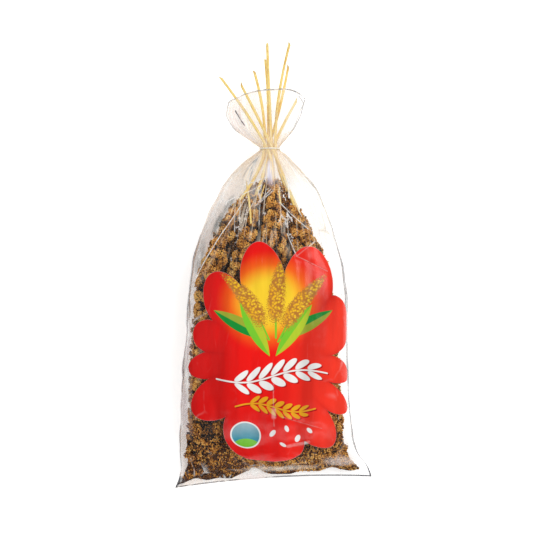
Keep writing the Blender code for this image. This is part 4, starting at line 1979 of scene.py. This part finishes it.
    def creases(self) -> np.ndarray:
        """The low ridge along each named crease, on the front of the film.

        Returns:
            How far each point is lifted.
        """
        lift = np.zeros(self.plain.shape[:2])
        front = np.arange(self.around + 1)
        on_front = (front > self.around * 0.22) & (front < self.around * 0.78)
        for fold in FRONT_CREASES_AND_GLINTS:
            start = np.array([fold.start_x, fold.start_y])
            run = np.array([fold.end_x, fold.end_y]) - start
            away = self.plain[:, :, :2] - start
            share = np.clip(away @ run / (run @ run), 0, 1)
            gap = np.linalg.norm(away - share[:, :, None] * run, axis=2)
            lift += fold.strength * 0.9 * np.exp(-((gap / 1.9) ** 2)) * on_front
        return lift

    def on_film(self, x: float, y: float) -> Vector:
        """Where a point seen from above lies on the flat film.

        Args:
            x: its X, in millimetres.
            y: its Y, in millimetres.

        Returns:
            Its millimetres across and along, from the printed panel's middle.
        """
        front = slice(self.around // 4, self.around * 3 // 4)
        gaps = np.linalg.norm(self.surface[:, front, :2] - np.array([x, y]), axis=2)
        row, column = np.unravel_index(np.argmin(gaps), gaps.shape)
        share = (column + self.around // 4) / self.around
        return Vector(((0.5 - share) * self.girth, self.travelled[row] - self.panel_run))

    def heights(self, x: np.ndarray, y: np.ndarray) -> tuple[np.ndarray, np.ndarray]:
        """Measures the room inside the bag over points seen from above, in millimetres.

        Args:
            x: their X.
            y: their Y.

        Returns:
            The film's lowest and highest Z there; its seam's height where no film is.
        """
        found = []
        for start_z, way in ((-100, Vector((0, 0, 1))), (200, Vector((0, 0, -1)))):
            starts = (Vector((*spot, start_z)) for spot in zip(x.flat, y.flat))
            hits = [self.tree.ray_cast(start, way)[0] for start in starts]
            found.append(np.array([SEAM_Z if hit is None else hit.z for hit in hits]).reshape(x.shape))
        return found[0], found[1]

    def place(self, round_share: np.ndarray, along_share: np.ndarray) -> np.ndarray:
        """The film's points for the rolled grid, in metres.

        Args:
            round_share: shares of the way round.
            along_share: shares of the way from the seam to the mouth.

        Returns:
            The points.
        """
        return self.surface[self.cell(round_share, along_share)] * MM

    def cell(self, round_share: np.ndarray, along_share: np.ndarray) -> tuple[np.ndarray, np.ndarray]:
        """The rows and columns of the film's points for shares of the way along and round."""
        columns = np.rint(round_share * self.around).astype(int)
        return np.rint(along_share * self.along).astype(int), columns

    def ridge(self, round_share: np.ndarray, along_share: np.ndarray) -> np.ndarray:
        """How sharply the film is folded at the rolled grid's points, from 0 to 1."""
        return self.ridges[self.cell(round_share, along_share)]

    def aside(self, round_share: np.ndarray, along_share: np.ndarray) -> np.ndarray:
        """How far round the film the rolled grid's points lie from its side folds, in millimetres.

        Args:
            round_share: shares of the way round.
            along_share: shares of the way from the seam to the mouth.

        Returns:
            The measures, which are below 0 on the back.
        """
        rows, _ = self.cell(round_share, along_share)
        x = self.surface[:, :, 0]
        sides = []
        for columns in (x.argmax(axis=1), x.argmin(axis=1)):
            padded = np.pad(columns / self.around, 2, mode="edge")
            sides.append(np.convolve(padded, np.full(5, 0.2), mode="valid")[rows])
        past = np.where(round_share < 0.5, round_share - sides[0], sides[1] - round_share)
        return past * self.girth

    def build(self) -> None:
        """Models the bag in its solid's place."""
        marks = {"ridge": self.ridge, "aside": self.aside}
        made = rolled_sheet("film", self.around, self.along, self.place, marks)
        self.close_seam(made)
        thicken = made.modifiers.new("wall", "SOLIDIFY")
        thicken.thickness = self.wall
        thicken.offset = -1
        bpy.ops.object.modifier_apply(modifier=thicken.name)
        made.data.shade_smooth()
        settle(made, FilmFinish().material(self), "clear_film", "film_bag")

    def close_seam(self, item: bpy.types.Object) -> None:
        """Closes the bottom edge, front to back, and turns the film's faces outwards.

        Args:
            item: the open tube of film.
        """
        with edited(item) as mesh:
            rims = [edge for edge in mesh.edges if edge.is_boundary]
            loops = [edge for edge in rims if edge.verts[0].co.y < self.foot_below]
            bmesh.ops.holes_fill(mesh, edges=loops, sides=0)
            bmesh.ops.triangulate(mesh, faces=[face for face in mesh.faces if len(face.verts) > 4])
        with edited(item) as mesh:
            bmesh.ops.recalc_face_normals(mesh, faces=mesh.faces)
            top = max(mesh.faces, key=lambda face: face.calc_center_median().z)
            if top.normal.z < 0:
                bmesh.ops.reverse_faces(mesh, faces=mesh.faces)


# The tie


@dataclass
class NeckTie:
    """The thin twisted loop that holds the neck."""

    strands: int = 2
    twists: int = 15
    depth: float = 0.24

    def build(self) -> None:
        """Models the tie round its solid's ring."""
        low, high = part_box("neck_tie")
        centre = (low + high) / 2
        thickness = (high.y - low.y) / 2
        outer = Vector(((high.x - low.x) / 2, 0, (high.z - low.z) / 2))
        deselect()
        bpy.ops.mesh.primitive_torus_add(
            major_segments=168, minor_segments=12, major_radius=1.0, minor_radius=0.1
        )
        ring = bpy.context.active_object
        ring.name = "tie_loop"
        for point in ring.data.vertices:
            turn = math.atan2(point.co.y, point.co.x)
            away = Vector((math.hypot(point.co.x, point.co.y) - 1, point.co.z))
            side = math.atan2(away.y, away.x)
            swell = 1 - self.depth * (1 - abs(math.cos(self.strands / 2 * side + self.twists / 2 * turn)))
            reach = thickness * swell
            out = math.cos(side) * reach - thickness
            point.co = centre + Vector((
                math.cos(turn) * (outer.x + out), math.sin(side) * reach, math.sin(turn) * (outer.z + out),
            ))
        ring.data.shade_smooth()
        with edited(ring) as mesh:
            bmesh.ops.recalc_face_normals(mesh, faces=mesh.faces)
        settle(ring, self.material(), "tie_thread", "neck_tie")

    def material(self) -> bpy.types.Material:
        """Makes a waxed pale thread's material.

        Returns:
            The material.
        """
        finish, sketch, shader = new_material("tie_thread")
        tone = sketch.toned(sketch.place(), 200.0, 1500.0, 0.0, 1.0)
        thread = sketch.blend(tone, (0.86, 0.82, 0.7), (0.98, 0.96, 0.9))
        shader.wire({"Base Color": thread, "Roughness": 0.4})
        return finish


# The shed grain


# How far the loose sprigs reach at some places along the bag, in millimetres: Y, the left and the right X.
SPRIG_EDGES = (
    (-185, -82, 70),
    (-140, -80, 62),
    (-60, -76, 60),
    (-22, -72, 50),
    (0, -68, 42),
    (23, -58, 33),
    (40, -50, 24),
    (57, -39, 23),
    (68, -29, 16),
    (77, -22, 8),
    (84, -8, 5),
)


# The bed's lower edge, from the left corner to the right one: X and Y, in millimetres.
BED_FOOT = (
    (-92.5, -210.5),
    (-86, -208.5),
    (-75.5, -203.5),
    (-64, -206),
    (-52.5, -203.5),
    (-41, -204.5),
    (-32, -200),
    (-17, -193),
    (-10.5, -197),
    (-3, -200),
    (16.5, -200),
    (25, -197),
    (43, -197),
    (56.5, -192.5),
    (64, -195),
    (74, -197),
    (83, -195),
)
# The bed's left and right sides: a share of the way up it, then the left and the right X.
BED_SIDES = (
    (0.0, -92.5, 83.0),
    (0.12, -87.0, 80.0),
    (0.35, -82.0, 72.0),
    (1.0, -83.0, 64.0),
)


@dataclass
class ShedGrain:
    """Loose seed at the bottom of the bag, which fills the film's foot and laps round the heads' tips."""

    node: str = "shed_grain"
    rows: int = 22
    columns: int = 64
    top_y: float = -158.0
    near_film: float = 2.9
    under_film: float = 2.2
    deepest: float = 24.0
    bed_shade_tint: float = 0.19
    left_shade: float = 0.21
    bed_count: int = 5200
    front_share: float = 0.74
    strewn_count: int = 1400
    sprig_tries: int = 12000
    sprig_gap: float = 4.7 * MM
    sprig_ceiling: float = 25 * MM
    sprig_bend: float = 20 * MM
    flank_slope: float = 0.62
    strewn_left: float = -0.088
    strewn_right: float = 0.078
    strewn_top: float = -0.1
    strewn_foot: float = -0.195
    lump_height: float = 1.1 * MM
    lump_light_and_shade: float = 0.4
    clump_count: int = 76
    clump_foot: float = 16 * MM
    clump_pitch: float = 1.2
    seed: int = 5

    def build(
        self, bag: FilmBag, stock: SeedStock, finish: bpy.types.Material, heads: Sequence[str],
    ) -> None:
        """Models the grain.

        Args:
            bag: the film bag, whose foot it fills.
            stock: the seeds.
            finish: the grain's material.
            heads: the head nodes that it has slid between.
        """
        self.bag = bag
        self.plain = stock.plain
        self.swarm = Swarm(bag, stock, self.seed)
        self.draw = self.swarm.draw
        self.tree = solids_tree(heads)
        self.bed()
        self.strewn()
        self.sprigs()
        settle(self.swarm.finish("loose_grain"), finish, "millet", self.node)

    def bed(self) -> None:
        """Lays the bed: a lump drawn in from the film, painted dark as shade, covered with seeds."""
        draw = self.draw
        points, faces = self.bed_lump()
        corners = points[faces]
        facing = np.cross(corners[:, 1] - corners[:, 0], corners[:, 2] - corners[:, 0])
        areas = np.linalg.norm(facing, axis=1)
        faces, corners, facing, areas = (part[areas > 1e-10] for part in (faces, corners, facing, areas))
        # The lump takes the bed's tint, which paints it dark as shade between the seeds.
        self.swarm.add_mesh(points, faces, self.bed_shade_tint)
        weights = areas * np.where(facing[:, 2] > 0, self.front_share, 1 - self.front_share)
        picks = draw.choice(len(faces), self.bed_count, p=weights / weights.sum())
        seats = np.einsum("nk,nkj->nj", draw.dirichlet((1, 1, 1), self.bed_count), corners[picks])
        ways = facing[picks] / areas[picks][:, None]
        # The lumps that raise the seeds also make them lighter, and the sunk ones darker: painted light and
        # shade.
        lumps = np.clip([noise.noise(Vector(seat) * 150) for seat in seats], -1, 1)
        seats = seats + ways * (lumps * self.lump_height)[:, None]
        # Seeds are darker towards the left: painted shade on the side away from the key light.
        left_shade = self.left_shade * np.clip(-seats[:, 0] / (80 * MM), -0.4, 1)
        tints = 0.48 - left_shade + self.lump_light_and_shade * lumps + draw.normal(0, 0.17, self.bed_count)
        self.swarm.scatter(self.plain, seats, ways, np.clip(tints, 0.1, 1))
        high = (ways[:, 2] > 0.3) & (seats[:, 2] > self.clump_foot)
        clumps = np.flatnonzero(high)[:self.clump_count]
        count = len(clumps)
        radii, proud = draw.uniform(2.4, 3.6, count) * MM, draw.uniform(-0.3, 0.4, count) * MM
        self.clump(seats[clumps], ways[clumps], radii, proud, draw.normal(0.52, 0.1, count))

    def clump(
        self, places: np.ndarray, ways: np.ndarray, radii: np.ndarray, proud: np.ndarray, tints: np.ndarray,
    ) -> None:
        """Adds clumps of the plainer seeds, as a swarm's lobes."""
        pitches = np.full(len(places), self.clump_pitch)
        self.swarm.lobes(places, ways, radii, proud, tints, pitches, np.zeros(len(places), bool))

    def bed_lump(self) -> tuple[np.ndarray, np.ndarray]:
        """The bed's inside, painted dark as shade: a lump between the film's front and its back, closed at
        its edges.

        Returns:
            Its points, in metres, and its triangles.
        """
        share_y, share_x = np.meshgrid(
            np.linspace(0, 1, self.rows + 1), np.linspace(0, 1, self.columns + 1), indexing="ij"
        )
        up, left, right = (np.array(column) for column in zip(*BED_SIDES))
        left_x, right_x = np.interp(share_y, up, left), np.interp(share_y, up, right)
        x = left_x + (right_x - left_x) * share_x
        foot = np.interp(x, *(np.array(column) for column in zip(*BED_FOOT)))
        y = foot + (self.top_y - foot) * share_y
        low, high = self.bag.heights(x, y)
        rounded = np.clip(1 - np.abs(2 * share_x - 1) ** 5, 0, 1) ** 0.5
        rounded = rounded * np.clip(share_y / 0.1, 0, 1) ** 0.5 * np.clip((1 - share_y) / 0.06, 0, 1) ** 0.5
        half = np.maximum((high - low) / 2 - self.near_film, 0.3) * rounded
        dip = np.minimum(self.deepest * np.clip((share_y - 0.35) / 0.65, 0, 1) ** 1.5, half * 1.5)
        middle = (low + high) / 2
        sheets = [np.stack([x, y, z], axis=2).reshape(-1, 3) for z in (middle + half - dip, middle - half)]
        row, column = np.meshgrid(np.arange(self.rows), np.arange(self.columns), indexing="ij")
        first = (row * (self.columns + 1) + column).ravel()
        across, along = first + 1, first + self.columns + 1
        upper = np.concatenate([
            np.stack([first, across, along + 1], axis=1), np.stack([first, along + 1, along], axis=1)
        ])
        faces = np.concatenate([upper, upper[:, ::-1] + len(sheets[0])])
        merged, where = np.unique(np.round(np.concatenate(sheets), 4), axis=0, return_inverse=True)
        return merged * MM, where.reshape(-1)[faces]

    def strewn(self) -> None:
        """Strews seeds over the lower ends of the heads and into the gaps between them."""
        draw = self.draw
        seats, ways = [], []
        while len(seats) < self.strewn_count:
            depth = draw.random() ** 1.6
            y = self.strewn_foot + (self.strewn_top - self.strewn_foot) * depth
            x = draw.uniform(self.strewn_left, self.strewn_right)
            place, normal = self.dropped(x, y)
            if place is not None and not DARK_POCKET.holds(x, y):
                seats.append((place + normal * 0.2 * MM)[:])
                ways.append(normal[:])
        rows, ways = np.array(seats), np.array(ways)
        high = self.bag.heights(rows[:, 0] / MM, rows[:, 1] / MM)[1]
        clear = rows[:, 2] / MM < high - self.under_film
        tints = np.clip(draw.normal(0.54, 0.15, clear.sum()), 0.2, 1)
        self.swarm.scatter(self.plain, rows[clear], ways[clear], tints)

    def dropped(self, x: float, y: float) -> tuple[Vector | None, Vector | None]:
        """Where a seed that falls from above lands on the heads, and the way they face there."""
        return self.tree.ray_cast(Vector((x, y, 80 * MM)), Vector((0, 0, -1)))[:2]

    def sprigs(self) -> None:
        """Fills the gaps between the heads with loose sprigs, which lie deeper than the heads' tops."""
        draw = self.draw
        edge_y, left_x, right_x = (np.array(column) * MM for column in zip(*SPRIG_EDGES))
        places: list[np.ndarray] = []
        for _ in range(self.sprig_tries):
            y = draw.uniform(edge_y[0], edge_y[-1])
            x = draw.uniform(np.interp(y, edge_y, left_x), np.interp(y, edge_y, right_x))
            if PRINTED_AREA.holds(x, y) or DARK_POCKET.holds(x, y):
                continue
            hit, normal = self.dropped(x, y)
            ceiling = self.sprig_ceiling * (1 if y < self.sprig_bend else 0.92)
            on_flank = y > self.sprig_bend and normal is not None and normal.z < self.flank_slope
            if hit is not None and hit.z > ceiling - 2 * MM and not on_flank:
                continue
            place = np.array([x, y, ceiling + draw.uniform(-3, 1) * MM])
            if not places or np.linalg.norm(np.array(places) - place, axis=1).min() > self.sprig_gap:
                places.append(place)
        count = len(places)
        normals = np.tile([0.0, 0.0, 1.0], (count, 1))
        radii = draw.uniform(3.0, 4.2, count) * MM
        self.clump(np.array(places), normals, radii, np.zeros(count), draw.normal(0.55, 0.1, count))


def solids_tree(nodes: Sequence[str]) -> BVHTree:
    """A search tree over some CAD nodes, for rays.

    Args:
        nodes: the nodes' names.

    Returns:
        The tree.
    """
    points: list[Sequence[float]] = []
    faces: list[list[int]] = []
    for node in nodes:
        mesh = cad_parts[node].data
        faces += [[len(points) + corner for corner in face.vertices] for face in mesh.polygons]
        points += [point.co[:] for point in mesh.vertices]
    return BVHTree.FromPolygons(points, faces)


def main() -> None:
    """Builds the stage and every piece of the bag, in order."""
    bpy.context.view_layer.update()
    Studio().build()
    stock = SeedStock()
    seed_finish = MilletFinish().material()
    straw_finish = StrawFinish().material()
    heads = sorted(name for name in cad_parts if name.startswith("head_"))
    stems = sorted(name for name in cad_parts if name.startswith("stem_"))
    bag = FilmBag()
    for number, name in enumerate(heads):
        rank = Rank.FRONT if "front" in name else Rank.BACK
        MilletHead(name, number, rank).build(bag, stock, seed_finish)
    for name in stems:
        StrawStem(name).build(straw_finish)
    ShedGrain().build(bag, stock, seed_finish, heads)
    LooseStraws().build(bag, straw_finish)
    NeckTie().build()
    bag.build()


if __name__ == "__main__":
    main()
